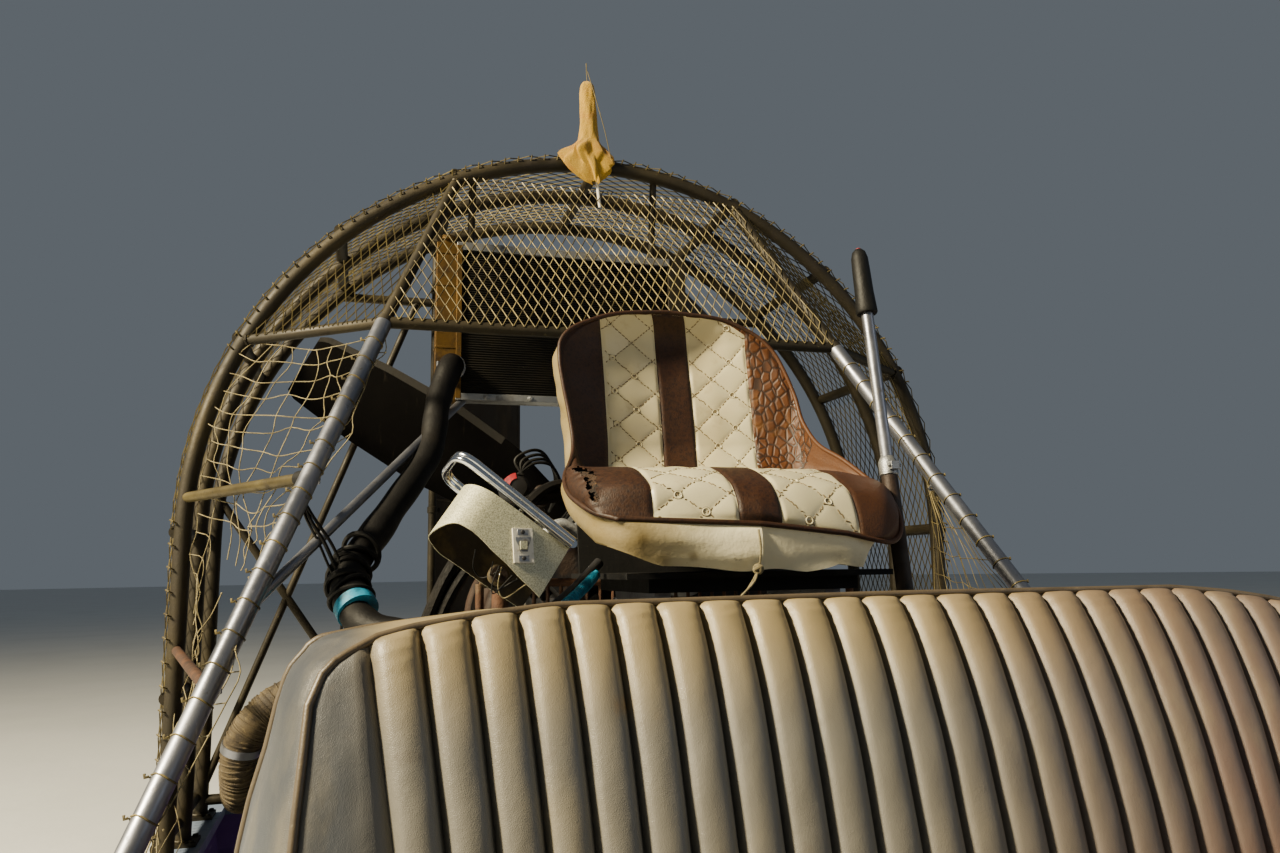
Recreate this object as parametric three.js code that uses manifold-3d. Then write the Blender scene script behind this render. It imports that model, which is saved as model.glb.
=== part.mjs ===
// Airboat: flat-bottomed hull, two passenger benches, raised driver's seat, open V engine,
// guarded two-blade air propeller and twin air rudders.
// Millimetres. +Z is up, the bow points towards -Y and port is +X.
// While it is built, Y = 0 is the plane of the guard's front hoop and Z = 0 the hull's flat bottom.

import * as THREE from "three";
import { mergeVertices } from "three/addons/utils/BufferGeometryUtils.js";
import Module from "manifold-3d";

const wasm = await Module();
wasm.setup();

// Gap left between pieces that touch
const GAP = 0.3;
const SIDES = [["starboard", -1], ["port", 1]];

// Driving dimensions of the guard cage, the propeller and the rudders
const SPRING_Z = 1400;
const ARCH_R = 1150;
const HOOP_TUBE_R = 22;
const REAR_Y = 559;
const HOOPS = [["front", 0], ["middle", 262], ["rear", REAR_Y]];
const PROP_Y = 285;
const PROP_R = 1030;
const BLADE_RISE = 31;
const SHAFT_R = 36;
const BOSS_Y = 95;
const RUDDER_X = 460;
const RUDDER_Y = 640;
const RUDDER_CHORD = 520;
const RUDDER_REST = 45;
const HORN = 150;
const HORN_Z = 660;
const PIVOT_TOP = 612;
const PIN_R = 8;

// Driving dimensions of the hull
const WALL = 35;
const FLOOR = 45;
const TRANSOM_Y = 750;
const DECK_EDGE_Y = -3500;
const BOARDS_Y = -2890;
const SIDE_Z = 520;
const CAP_HEIGHT = 30;
const GUNWALE_Z = SIDE_Z + CAP_HEIGHT;
const DECK_TOP = 60;
// Hull sections from stern to bow: y, bottom z, top z, half width at the bottom, half width at the top
const STATIONS = [
  [TRANSOM_Y, 0, SIDE_Z, 1100, 1170],
  [-2900, 0, SIDE_Z, 1100, 1170],
  [-3300, 25, 530, 1095, 1168],
  [-3650, 105, 548, 1075, 1158],
  [-3950, 225, 570, 1040, 1135],
  [-4180, 355, 595, 985, 1085],
  [-4300, 450, 612, 935, 1025],
];

// Joints of the visor frame and of the big diagonal tubes, for the port side
const VISOR_TOP = [448, 0, 2459];
const VISOR_END = [657, -262, 1932];
const VISOR_HIP = [1022, 0, 1926];
const DIAGONAL_FOOT = [1153, -1086, GUNWALE_Z + 2];

const FINISH = {
  paint: finish(0x6f3f9a, 0.35, 0.1),
  rim: finish(0x7d8ba0, 0.5, 0.3),
  plate: finish(0x9aa0a3, 0.45, 0.8),
  tube: finish(0x8c7f52, 0.5, 0.7),
  bare: finish(0xb9c0cb, 0.3, 0.9),
  mesh: finish(0x8a7538, 0.55, 0.7),
  vinyl: finish(0xa09a8e, 0.55, 0.0),
  shell: finish(0x4b4b4d, 0.6, 0.2),
  brown: finish(0x5a2718, 0.5, 0.0),
  cream: finish(0xd8cfae, 0.5, 0.0),
  iron: finish(0x33343a, 0.6, 0.6),
  cover: finish(0xa8adb3, 0.35, 0.8),
  rust: finish(0x7a3a1e, 0.8, 0.3),
  black: finish(0x17171a, 0.6, 0.1),
  hammered: finish(0xb9bba8, 0.4, 0.7),
  chrome: finish(0xe4e6ea, 0.12, 1.0),
  brass: finish(0xb08a2c, 0.4, 0.8),
  string: finish(0xd9cfae, 0.9, 0.0),
  cloth: finish(0xe0c020, 0.8, 0.0),
  rudder: finish(0x5d5a55, 0.6, 0.3),
};

function finish(colour, roughness, metalness) {
  return new THREE.MeshStandardMaterial({ color: colour, roughness, metalness });
}

function v(x, y, z) {
  return new THREE.Vector3(x, y, z);
}

// Solids

function solidOf(geometry) {
  const bare = geometry.clone();
  bare.deleteAttribute("normal");
  bare.deleteAttribute("uv");
  const merged = mergeVertices(bare, 1e-3);
  const shell = new wasm.Mesh({
    numProp: 3,
    vertProperties: Float32Array.from(merged.attributes.position.array),
    triVerts: Uint32Array.from(merged.index.array),
  });
  return new wasm.Manifold(shell);
}

function joined(solids) {
  return solids.reduce((whole, next) => whole.add(next));
}

// What is left of a solid once its neighbour, moved by the gap each way along every axis, is cut from it
function clearOf(solid, neighbour) {
  const steps = [[GAP, 0, 0], [-GAP, 0, 0], [0, GAP, 0], [0, -GAP, 0], [0, 0, GAP], [0, 0, -GAP]];
  return steps.reduce((rest, step) => rest.subtract(neighbour.translate(step)), solid);
}

const craft = new THREE.Group();
const solids = {};

// Adds one named mesh; where it meets the neighbours named, it is cut back to keep the gap
function piece(name, form, material, neighbours = []) {
  const solid = neighbours.reduce((rest, other) => clearOf(rest, solids[other]), form);
  solids[name] = solid;
  const shell = solid.getMesh();
  const corners = new Float32Array(shell.numVert * 3);
  for (let i = 0; i < shell.numVert; i += 1) {
    for (let k = 0; k < 3; k += 1) {
      corners[i * 3 + k] = shell.vertProperties[i * shell.numProp + k];
    }
  }
  const geometry = new THREE.BufferGeometry();
  geometry.setAttribute("position", new THREE.BufferAttribute(corners, 3));
  geometry.setIndex(new THREE.BufferAttribute(Uint32Array.from(shell.triVerts), 1));
  geometry.computeVertexNormals();
  const mesh = new THREE.Mesh(geometry, material);
  mesh.name = name;
  craft.add(mesh);
}

// Basic forms

function box(x0, x1, y0, y1, z0, z1) {
  const block = new THREE.BoxGeometry(x1 - x0, y1 - y0, z1 - z0);
  block.translate((x0 + x1) / 2, (y0 + y1) / 2, (z0 + z1) / 2);
  return solidOf(block);
}

function turned(solid, [degX, degY, degZ], [x, y, z]) {
  return solid.rotate([degX, degY, degZ]).translate([x, y, z]);
}

function rod(from, to, radius, sides = 6) {
  const along = to.clone().sub(from);
  const bar = new THREE.CylinderGeometry(radius, radius, along.length(), sides);
  bar.applyQuaternion(new THREE.Quaternion().setFromUnitVectors(v(0, 1, 0), along.clone().normalize()));
  bar.translate((from.x + to.x) / 2, (from.y + to.y) / 2, (from.z + to.z) / 2);
  return solidOf(bar);
}

// A path through given points, with the tangent halfway between the two legs at each of them
class BentLine extends THREE.Curve {
  constructor(points) {
    super();
    this.points = points;
  }

  getPoint(t, target = new THREE.Vector3()) {
    const last = this.points.length - 1;
    const at = Math.min(Math.max(t, 0), 1) * last;
    const i = Math.min(Math.floor(at), last - 1);
    return target.lerpVectors(this.points[i], this.points[i + 1], at - i);
  }

  getPointAt(u, target) {
    return this.getPoint(u, target);
  }

  getTangentAt(u, target = new THREE.Vector3()) {
    const last = this.points.length - 1;
    const i = Math.round(u * last);
    target.set(0, 0, 0);
    for (const [a, b] of [[i - 1, i], [i, i + 1]]) {
      if (a >= 0 && b <= last) {
        target.add(this.points[b].clone().sub(this.points[a]).normalize());
      }
    }
    return target.normalize();
  }
}

function ring(radius, sides) {
  const corners = [];
  for (let i = 0; i < sides; i += 1) {
    const turn = (i / sides) * 2 * Math.PI;
    corners.push(new THREE.Vector2(radius * Math.cos(turn), radius * Math.sin(turn)));
  }
  return new THREE.Shape(corners);
}

function tube(points, radius, sides = 8) {
  const route = { steps: points.length - 1, extrudePath: new BentLine(points), bevelEnabled: false };
  return solidOf(new THREE.ExtrudeGeometry(ring(radius, sides), route));
}

// The points of a bent pipe: straight legs with a rounded corner at each inner point
function bend(points, corner, steps = 3) {
  const route = [points[0]];
  for (let i = 1; i < points.length - 1; i += 1) {
    const back = points[i - 1].clone().sub(points[i]).setLength(corner).add(points[i]);
    const on = points[i + 1].clone().sub(points[i]).setLength(corner).add(points[i]);
    route.push(...new THREE.QuadraticBezierCurve3(back, points[i], on).getPoints(steps));
  }
  route.push(points[points.length - 1]);
  return route;
}

// A smooth hose through a few points
function hose(points, radius, steps = 16, sides = 8) {
  return tube(new THREE.CatmullRomCurve3(points).getPoints(steps), radius, sides);
}

// A turned form: profile of radius and height along an axis from a point
function lathe(profile, from, axis, sides = 14) {
  const form = new THREE.LatheGeometry(profile.map(([r, h]) => new THREE.Vector2(r, h)), sides);
  const turn = new THREE.Quaternion().setFromUnitVectors(v(0, 1, 0), axis.clone().normalize());
  form.applyMatrix4(new THREE.Matrix4().compose(from, turn, v(1, 1, 1)));
  return solidOf(form);
}

// True where a ring's corners run so that the loft's first end faces backwards
function facesOn(section, next) {
  const normal = v(0, 0, 0);
  for (let i = 1; i < section.length - 1; i += 1) {
    const a = section[i].clone().sub(section[0]);
    const b = section[i + 1].clone().sub(section[0]);
    normal.add(a.cross(b));
  }
  return normal.dot(next[0].clone().sub(section[0])) > 0;
}

// A solid through like sections, each a ring of the same number of points
function loft(rings) {
  const sections = facesOn(rings[0], rings[1]) ? rings : rings.map((section) => section.slice().reverse());
  const count = sections[0].length;
  const corners = [];
  const faces = [];
  sections.forEach((section) => section.forEach((p) => corners.push(p.x, p.y, p.z)));
  for (let s = 0; s < sections.length - 1; s += 1) {
    for (let i = 0; i < count; i += 1) {
      const a = s * count + i;
      const b = s * count + ((i + 1) % count);
      faces.push(a, b, b + count, a, b + count, a + count);
    }
  }
  const end = (sections.length - 1) * count;
  for (let i = 1; i < count - 1; i += 1) {
    faces.push(0, i + 1, i, end, end + i, end + i + 1);
  }
  const form = new THREE.BufferGeometry();
  form.setAttribute("position", new THREE.Float32BufferAttribute(corners, 3));
  form.setIndex(faces);
  return solidOf(form);
}

function at(point, sign) {
  return v(sign * point[0], point[1], point[2]);
}

function along(a, b, part) {
  return a.clone().lerp(b, part);
}

// A flat lattice of crossing rods inside a convex outline, with a rod along each edge
function lattice(outline, pitch, slope, radius, sides = 4) {
  const origin = outline[0];
  const u = outline[1].clone().sub(origin).normalize();
  const normal = u.clone().cross(outline[outline.length - 1].clone().sub(origin)).normalize();
  const w = normal.clone().cross(u);
  const flat = outline.map((p) => {
    const d = p.clone().sub(origin);
    return [d.dot(u), d.dot(w)];
  });
  const lift = ([a, b]) => origin.clone().addScaledVector(u, a).addScaledVector(w, b);
  const rods = flat.map((p, i) => rod(lift(p), lift(flat[(i + 1) % flat.length]), radius, sides));
  for (const lean of [slope, -slope]) {
    const shifts = flat.map(([a, b]) => a - b / lean);
    const [low, high] = [Math.min(...shifts), Math.max(...shifts)];
    const count = Math.max(1, Math.round((high - low) / pitch));
    for (let i = 1; i < count; i += 1) {
      const shift = low + ((high - low) * i) / count;
      const hits = [];
      flat.forEach(([a, b], k) => {
        const [c, d] = flat[(k + 1) % flat.length];
        const from = a - b / lean - shift;
        const to = c - d / lean - shift;
        if (from * to < 0) {
          const part = from / (from - to);
          hits.push([a + part * (c - a), b + part * (d - b)]);
        }
      });
      if (hits.length === 2 && Math.hypot(hits[0][0] - hits[1][0], hits[0][1] - hits[1][1]) > 4 * radius) {
        rods.push(rod(lift(hits[0]), lift(hits[1]), radius, sides));
      }
    }
  }
  return joined(rods);
}

// A net of straight strands between two pairs of opposite edges
function net([a, b, c, d], across, down, radius) {
  const strands = [];
  for (let i = 0; i <= across; i += 1) {
    strands.push(rod(along(a, b, i / across), along(d, c, i / across), radius, 4));
  }
  for (let i = 0; i <= down; i += 1) {
    strands.push(rod(along(a, d, i / down), along(b, c, i / down), radius, 4));
  }
  return joined(strands);
}

// Hull and decks

function stationAt(y) {
  const i = STATIONS.findIndex((row, k) => k > 0 && y >= row[0]);
  const [a, b] = [STATIONS[i - 1], STATIONS[i]];
  const part = (y - a[0]) / (b[0] - a[0]);
  return a.map((value, k) => value + part * (b[k] - value));
}

function hullLoft(inset, rise, lift) {
  const stern = TRANSOM_Y - inset;
  const nose = STATIONS[STATIONS.length - 1][0] + 2 * inset;
  return loft(STATIONS.map(([y, low, high, halfLow, halfHigh]) => {
    const place = Math.max(nose, Math.min(stern, y));
    const b = halfLow - inset;
    const t = halfHigh - inset;
    return [
      v(-b, place, low + rise), v(-t, place, high + lift), v(t, place, high + lift), v(b, place, low + rise),
    ];
  }));
}

function hullParts() {
  piece("hull", hullLoft(0, 0, 0).subtract(hullLoft(WALL, FLOOR, 60)), FINISH.paint);

  const rows = [stationAt(DECK_EDGE_Y), ...STATIONS.filter(([y]) => y < DECK_EDGE_Y)];
  const deck = rows.map(([y, , high, , half]) => [
    v(-half - 12, y, high + GAP), v(-half - 12, y, high + CAP_HEIGHT),
    v(half + 12, y, high + CAP_HEIGHT), v(half + 12, y, high + GAP),
  ]);
  deck.push(deck[deck.length - 1].map((p) => p.clone().add(v(0, -18, 0))));
  piece("bow_deck", loft(deck), FINISH.rim);

  const caps = SIDES.map(([, sign]) => loft([TRANSOM_Y, -2900, -3300, DECK_EDGE_Y + GAP].map((y) => {
    const [, , high, , half] = stationAt(y);
    const [inside, outside] = [sign * (half - 75), sign * (half + 20)];
    return [
      v(inside, y, high + GAP), v(inside, y, high + CAP_HEIGHT),
      v(outside, y, high + CAP_HEIGHT), v(outside, y, high + GAP),
    ];
  })));
  const sternCap = box(-1110, 1110, TRANSOM_Y - 50, TRANSOM_Y, SIDE_Z + GAP, GUNWALE_Z);
  piece("gunwale", joined([...caps, sternCap]), FINISH.rim);

  const boards = box(-1050, 1050, BOARDS_Y, TRANSOM_Y - WALL - 5, FLOOR + GAP, DECK_TOP);
  piece("floor_boards", boards, FINISH.plate);

  const foot = stationAt(-3620)[2] + CAP_HEIGHT - 10;
  const top = foot + 260;
  const route = bend([v(-820, -3620, foot), v(-820, -3640, top), v(820, -3640, top), v(820, -3620, foot)], 90, 4);
  const posts = [-280, 280].map((x) => rod(v(x, -3640, foot), v(x, -3640, top), 14));
  piece("bow_rail", joined([tube(route, 17), ...posts]), FINISH.bare, ["bow_deck"]);
}

// Passenger benches: name, y of the back's face, z of its top, z of the seat's top, half width
const BENCHES = [
  ["rear", -1577, 1240, 800, 835],
  ["front", -2640, 890, 450, 795],
];
const BACK_THICK = 95;
const REAR_DROP = 14;
const SEAT_THICK = 120;
const SEAT_DEEP = 470;
// A back cushion from its top down: drop, half width of the face, half width at the rear, swell of the face
const BACK_ROWS = [
  [0, 467, 600, 0], [9, 570, 690, 7], [19, 640, 748, 13], [28, 681, 762, 19], [40, 706, 772, 27],
  [52, 725, 780, 34], [68, 738, 785, 42], [94, 745, 790, 54], [143, 748, 800, 73], [198, 752, 815, 90],
  [251, 755, 825, 104], [330, 762, 833, 122], [440, 768, 835, 135],
];
const WIDEST = 835;
const BOARD_INSET = 95;

// A back cushion whose face swells out towards its foot and is smaller than its rear
function backCushion(y, low, high, half) {
  const slim = WIDEST - half;
  return loft(BACK_ROWS.map(([drop, face, rear, swell]) => {
    const z = Math.max(low, high - drop);
    const rearZ = Math.max(low, z - REAR_DROP);
    const side = [
      [face - slim, y - swell, z],
      [face + 0.55 * (rear - face) - slim, y + 0.25 * BACK_THICK - 0.6 * swell, (z + rearZ) / 2],
      [rear - slim, y + BACK_THICK, rearZ],
    ];
    const ring = side.map(([x, deep, up]) => v(x, deep, up));
    return [...side.reverse().map(([x, deep, up]) => v(-x, deep, up)), ...ring];
  }));
}

function benchParts() {
  for (const [name, y, top, seatZ, half] of BENCHES) {
    const seatLow = seatZ - SEAT_THICK;
    const seatFront = y - SEAT_DEEP;
    const boardY = y + BACK_THICK + GAP;
    piece(`${name}_bench_back`, backCushion(y, seatZ + GAP, top, half), FINISH.vinyl);
    piece(`${name}_bench_seat`, box(-half + 42, half - 42, seatFront, y + 60, seatLow, seatZ), FINISH.vinyl);

    const boardHalf = half - BOARD_INSET;
    const board = box(-boardHalf, boardHalf, boardY, boardY + 14, seatLow - 60, top - 50);
    const tray = box(-half + 60, half - 60, seatFront + 30, boardY + 14, seatLow - 14, seatLow - GAP);
    const legX = half - 90;
    const [frontY, rearY] = [seatFront + 70, y + 40];
    const frame = [board, tray];
    for (const x of [-legX, 0, legX]) {
      frame.push(rod(v(x, frontY, FLOOR + 3), v(x, frontY, seatLow - 10), 20));
      frame.push(rod(v(x, rearY, FLOOR + 3), v(x, rearY, seatLow - 10), 20));
      frame.push(rod(v(x, frontY, DECK_TOP + 130), v(x, rearY, DECK_TOP + 130), 15));
    }
    for (const legY of [frontY, rearY]) {
      frame.push(rod(v(-legX, legY, seatLow - 45), v(legX, legY, seatLow - 45), 15));
    }
    piece(`${name}_bench_frame`, joined(frame), FINISH.plate, ["hull", "floor_boards"]);
  }
  const [tankTop, batteryTop] = [330, 285];
  const tank = [
    box(70, 640, -1930, -1600, DECK_TOP + GAP, tankTop),
    rod(v(160, -1765, tankTop - 2), v(160, -1765, tankTop + 34), 42, 14),
    rod(v(560, -1765, tankTop - 2), v(560, -1765, tankTop + 22), 14, 8),
  ];
  piece("fuel_tank", joined(tank), FINISH.black);
  const battery = [box(-610, -290, -1900, -1650, DECK_TOP + GAP, batteryTop)];
  for (const x of [-570, -330]) {
    battery.push(rod(v(x, -1700, batteryTop - 2), v(x, -1700, batteryTop + 20), 10, 8));
  }
  piece("battery", joined(battery), FINISH.black);
}

// Driver's place
const DRIVER_X = -28;
const PAN_Z = 1266;
const CUSHION_FRONT = -1262;
const CUSHION_REAR = -800;
const SEAT_LEAN = 10;
const FOOTREST_Y = -1370;

// Rudder stick at the driver's left hand, leaning aft as in the photo
const STICK_X = 300;
const STICK_Y = -1172;
const STICK_LEAN = 8.1;
const PIVOT_Z = 905;
const GRIP_FOOT = 905;

function driverParts() {
  const x = DRIVER_X;
  const low = DECK_TOP - 5;
  const top = PAN_Z - 40;
  const legs = [];
  const corner = (sign, rear, part) => {
    const foot = v(x + sign * 250, rear ? -840 : -1235, low);
    const head = v(x + sign * 165, rear ? -880 : -1140, top);
    return along(foot, head, part);
  };
  for (const sign of [-1, 1]) {
    for (const rear of [false, true]) {
      legs.push(rod(corner(sign, rear, 0), corner(sign, rear, 1), 19));
    }
    for (const part of [0.22, 0.62, 0.995]) {
      legs.push(rod(corner(sign, false, part), corner(sign, true, part), 13));
    }
    legs.push(rod(corner(sign, false, 0.71), v(x + sign * 209, FOOTREST_Y, PIVOT_Z - 20), 12));
    legs.push(box(x + sign * 165 - 15, x + sign * 165 + 15, -1140, -880, top - 13, PAN_Z - 24 - GAP));
  }
  for (const rear of [false, true]) {
    for (const part of [0.22, 0.62]) {
      legs.push(rod(corner(-1, rear, part), corner(1, rear, part), 13));
    }
  }
  legs.push(rod(v(x - 220, FOOTREST_Y, PIVOT_Z - 20), v(x + 220, FOOTREST_Y, PIVOT_Z - 20), 15));

  // Throttle pedal on the footrest
  legs.push(turned(box(-42, 42, -5, 5, -30, 140), [28, 0, 0], [x + 120, FOOTREST_Y - 10, PIVOT_Z + 20]));
  legs.push(box(x + 105, x + 135, FOOTREST_Y - 20, FOOTREST_Y + 12, PIVOT_Z - 14, PIVOT_Z + 30));

  // Fork for the rudder stick, on a post of its own
  for (const cheek of [-40, 24]) {
    legs.push(box(STICK_X + cheek, STICK_X + cheek + 16, STICK_Y - 30, STICK_Y + 30, PIVOT_Z - 47, PIVOT_Z + 33));
  }
  legs.push(box(STICK_X - 40, STICK_X + 40, STICK_Y - 30, STICK_Y + 30, PIVOT_Z - 57, PIVOT_Z - 43));
  legs.push(rod(v(STICK_X - 38, STICK_Y, PIVOT_Z), v(STICK_X + 38, STICK_Y, PIVOT_Z), 6));
  legs.push(rod(v(STICK_X, STICK_Y, low), v(STICK_X, STICK_Y, PIVOT_Z - 50), 17));
  legs.push(rod(v(x + 200, STICK_Y + 8, PIVOT_Z - 37), v(STICK_X - 30, STICK_Y, PIVOT_Z - 47), 12));
  piece("driver_stand", joined(legs), FINISH.bare, ["floor_boards"]);

  const pan = box(x - 250, x + 250, CUSHION_FRONT + 50, CUSHION_REAR + 10, PAN_Z, PAN_Z + 10);
  const rib = box(x - 200, x + 200, CUSHION_FRONT + 90, CUSHION_REAR - 40, PAN_Z - 24, PAN_Z + 2);
  const back = turned(box(x - 235, x + 235, 0, 8, 0, 440), [-SEAT_LEAN, 0, 0], [0, CUSHION_REAR - 4, PAN_Z + 2]);
  piece("driver_seat_pan", joined([pan, rib, back]), FINISH.shell, ["driver_stand"]);

  // Cushion sections: rise, inset of the sides, inset of the front
  const layers = [[0, 30, 30], [14, 0, 8], [86, 0, 0], [112, 40, 20]];
  const cushion = layers.map(([rise, side, front]) => {
    const w = 305 - side;
    const z = PAN_Z + 10 + GAP + rise;
    const y = CUSHION_FRONT + front;
    return [
      v(x - w + 60, y, z), v(x - w, y + 70, z), v(x - w + 20, CUSHION_REAR - 45, z),
      v(x + w - 20, CUSHION_REAR - 45, z), v(x + w, y + 70, z), v(x + w - 60, y, z),
    ];
  });

  // Arms of the bucket, from the cushion's front up to the backrest: y, top z, half width
  const armRows = [[-1185, 1384, 292], [-1080, 1424, 304], [-980, 1492, 302], [-900, 1565, 292], [-852, 1640, 280]];
  const arms = [-1, 1].map((sign) => loft(armRows.map(([y, z, half]) => [
    v(x + sign * (half - 46), y, 1350), v(x + sign * half, y, 1350), v(x + sign * half, y, z), v(x + sign * (half - 22), y, z),
  ])));
  piece("driver_seat_cushion", joined([loft(cushion), ...arms]), FINISH.cream, ["driver_seat_pan"]);

  const outline = [];
  for (let i = 0; i <= 8; i += 1) {
    const turn = (i / 8) * Math.PI;
    outline.push([270 * Math.cos(turn), 437 + 135 * Math.sin(turn)]);
  }
  outline.push([-285, 123], [285, 123]);
  const rows = [[-GAP, 0.93], [-20, 1], [-78, 1], [-96, 0.93]];
  const pad = loft(rows.map(([deep, scale]) => {
    return outline.map(([bx, bz]) => v(bx * scale, deep, (bz - 347) * scale + 347));
  }));
  const placed = turned(pad, [-SEAT_LEAN, 0, 0], [x, CUSHION_REAR - 4, PAN_Z + 2]);
  piece("driver_seat_back", placed, FINISH.cream, ["driver_seat_pan", "driver_seat_cushion"]);

  const guard = lattice([v(-462, -745, 905), v(394, -745, 905), v(394, -745, 1258), v(-462, -745, 1258)], 1e6, 1, 9, 6);
  const bars = [];
  for (let i = 1; i < 14; i += 1) {
    const barX = -462 + (856 * i) / 14;
    bars.push(rod(v(barX, -745, 905), v(barX, -745, 1258), 5, 4));
  }
  const posts = [-462, 394].map((postX) => rod(v(postX, -745, DECK_TOP + GAP), v(postX, -745, 910), 12));
  piece("engine_guard", joined([guard, ...bars, ...posts]), FINISH.rust);
}

function stickParts() {
  const lower = rod(v(0, 0, -20), v(0, 0, 585), 16, 10);
  const hub = rod(v(-17, 0, 0), v(17, 0, 0), 24, 12);
  const bore = rod(v(-60, 0, 0), v(60, 0, 0), 7, 12);
  const upper = rod(v(0, 0, 580), v(0, 0, GRIP_FOOT + 20), 12.5, 10);
  const clamp = rod(v(0, 0, 560), v(0, 0, 600), 20, 10);
  const profile = [[0, 0], [21, 0], [22, 12], [19.5, 60], [18.5, 110], [17, 134], [9, 147], [0, 149]];
  const grip = lathe(profile, v(0, 0, GRIP_FOOT), v(0, 0, 1), 10);
  const stick = joined([lower, hub, upper, clamp, grip]).subtract(bore);
  piece("stick", turned(stick, [-STICK_LEAN, 0, 0], [STICK_X, STICK_Y, PIVOT_Z]), FINISH.bare);

  const cable = [
    v(352, STICK_Y, 880), v(352, -1160, 500), v(400, -1060, 120), v(480, -800, 75), v(490, -300, 75),
    v(490, 300, 80), v(480, 560, 180), v(470, 640, 400), v(440, 665, 520), v(400, 672, 600),
  ];
  piece("steering_cable", hose(cable, 8, 27, 5), FINISH.black, ["floor_boards", "gunwale"]);
}

// Console: a folded sheet, round at its starboard end and open elsewhere, under a loop handle.
// It is drawn level, x along its top edge and y through its depth, and then tilted towards the seat.
const CONSOLE = { long: 200, deep: 100, high: 95, sheet: 4, tilt: [-15, 35, 0], place: [-540, -1215, 1437] };

function consoleParts() {
  const c = CONSOLE;
  const hang = (solid) => turned(solid, c.tilt, c.place);
  const fold = c.deep / 2;
  const folded = (inset, low, high) => joined([
    box(fold, c.long + inset, inset, c.deep - inset, low, high),
    rod(v(fold, fold, low), v(fold, fold, high), fold - inset, 20),
  ]);
  const sheet = folded(0, -c.high, 0).subtract(folded(c.sheet, -c.high - 10, 10));
  const strap = box(100, 140, 0, c.deep, -c.sheet, 0);
  const gauge = rod(v(139, 62, 9 - c.high), v(139, c.deep - 1, 9 - c.high), 18, 14);

  const [loopLeft, loopRight, loopRear, loopZ] = [-31, 188, c.deep + 16, 22];
  const route = bend([
    v(loopRight, 0, loopZ), v(loopLeft, 0, loopZ), v(loopLeft, loopRear, loopZ), v(loopRight, loopRear, loopZ),
  ], 34, 4);
  const crossBar = rod(v(loopRight, 0, loopZ), v(loopRight, loopRear, loopZ), 9);
  const studs = [104, 136].map((x) => rod(v(x, 8, GAP), v(x, 8, loopZ), 6));
  const handle = hang(joined([tube(route, 9), crossBar, ...studs]));
  const [postX, postY, postTop] = [-470, -1098, 1378];
  const stay = rod(v(postX, postY, postTop - 110), v(-390, postY, 1327), 9);
  const post = rod(v(postX, postY, DECK_TOP + GAP), v(postX, postY, postTop), 15);
  piece("console_loop", joined([handle, stay, post]), FINISH.chrome);
  piece("console_box", hang(joined([sheet, strap, gauge])), FINISH.hammered, ["console_loop"]);
}

// Engine and its drive
const CRANK_Z = 1110;
const BLOCK_FRONT = -640;
const BLOCK_REAR = -110;
const RAIL_Z = 1030;
// Half of the block's section from the sump up: x, z
const BLOCK_HALF = [[120, 905], [150, 1000], [235, 1110], [262, 1210], [120, 1345]];

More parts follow.
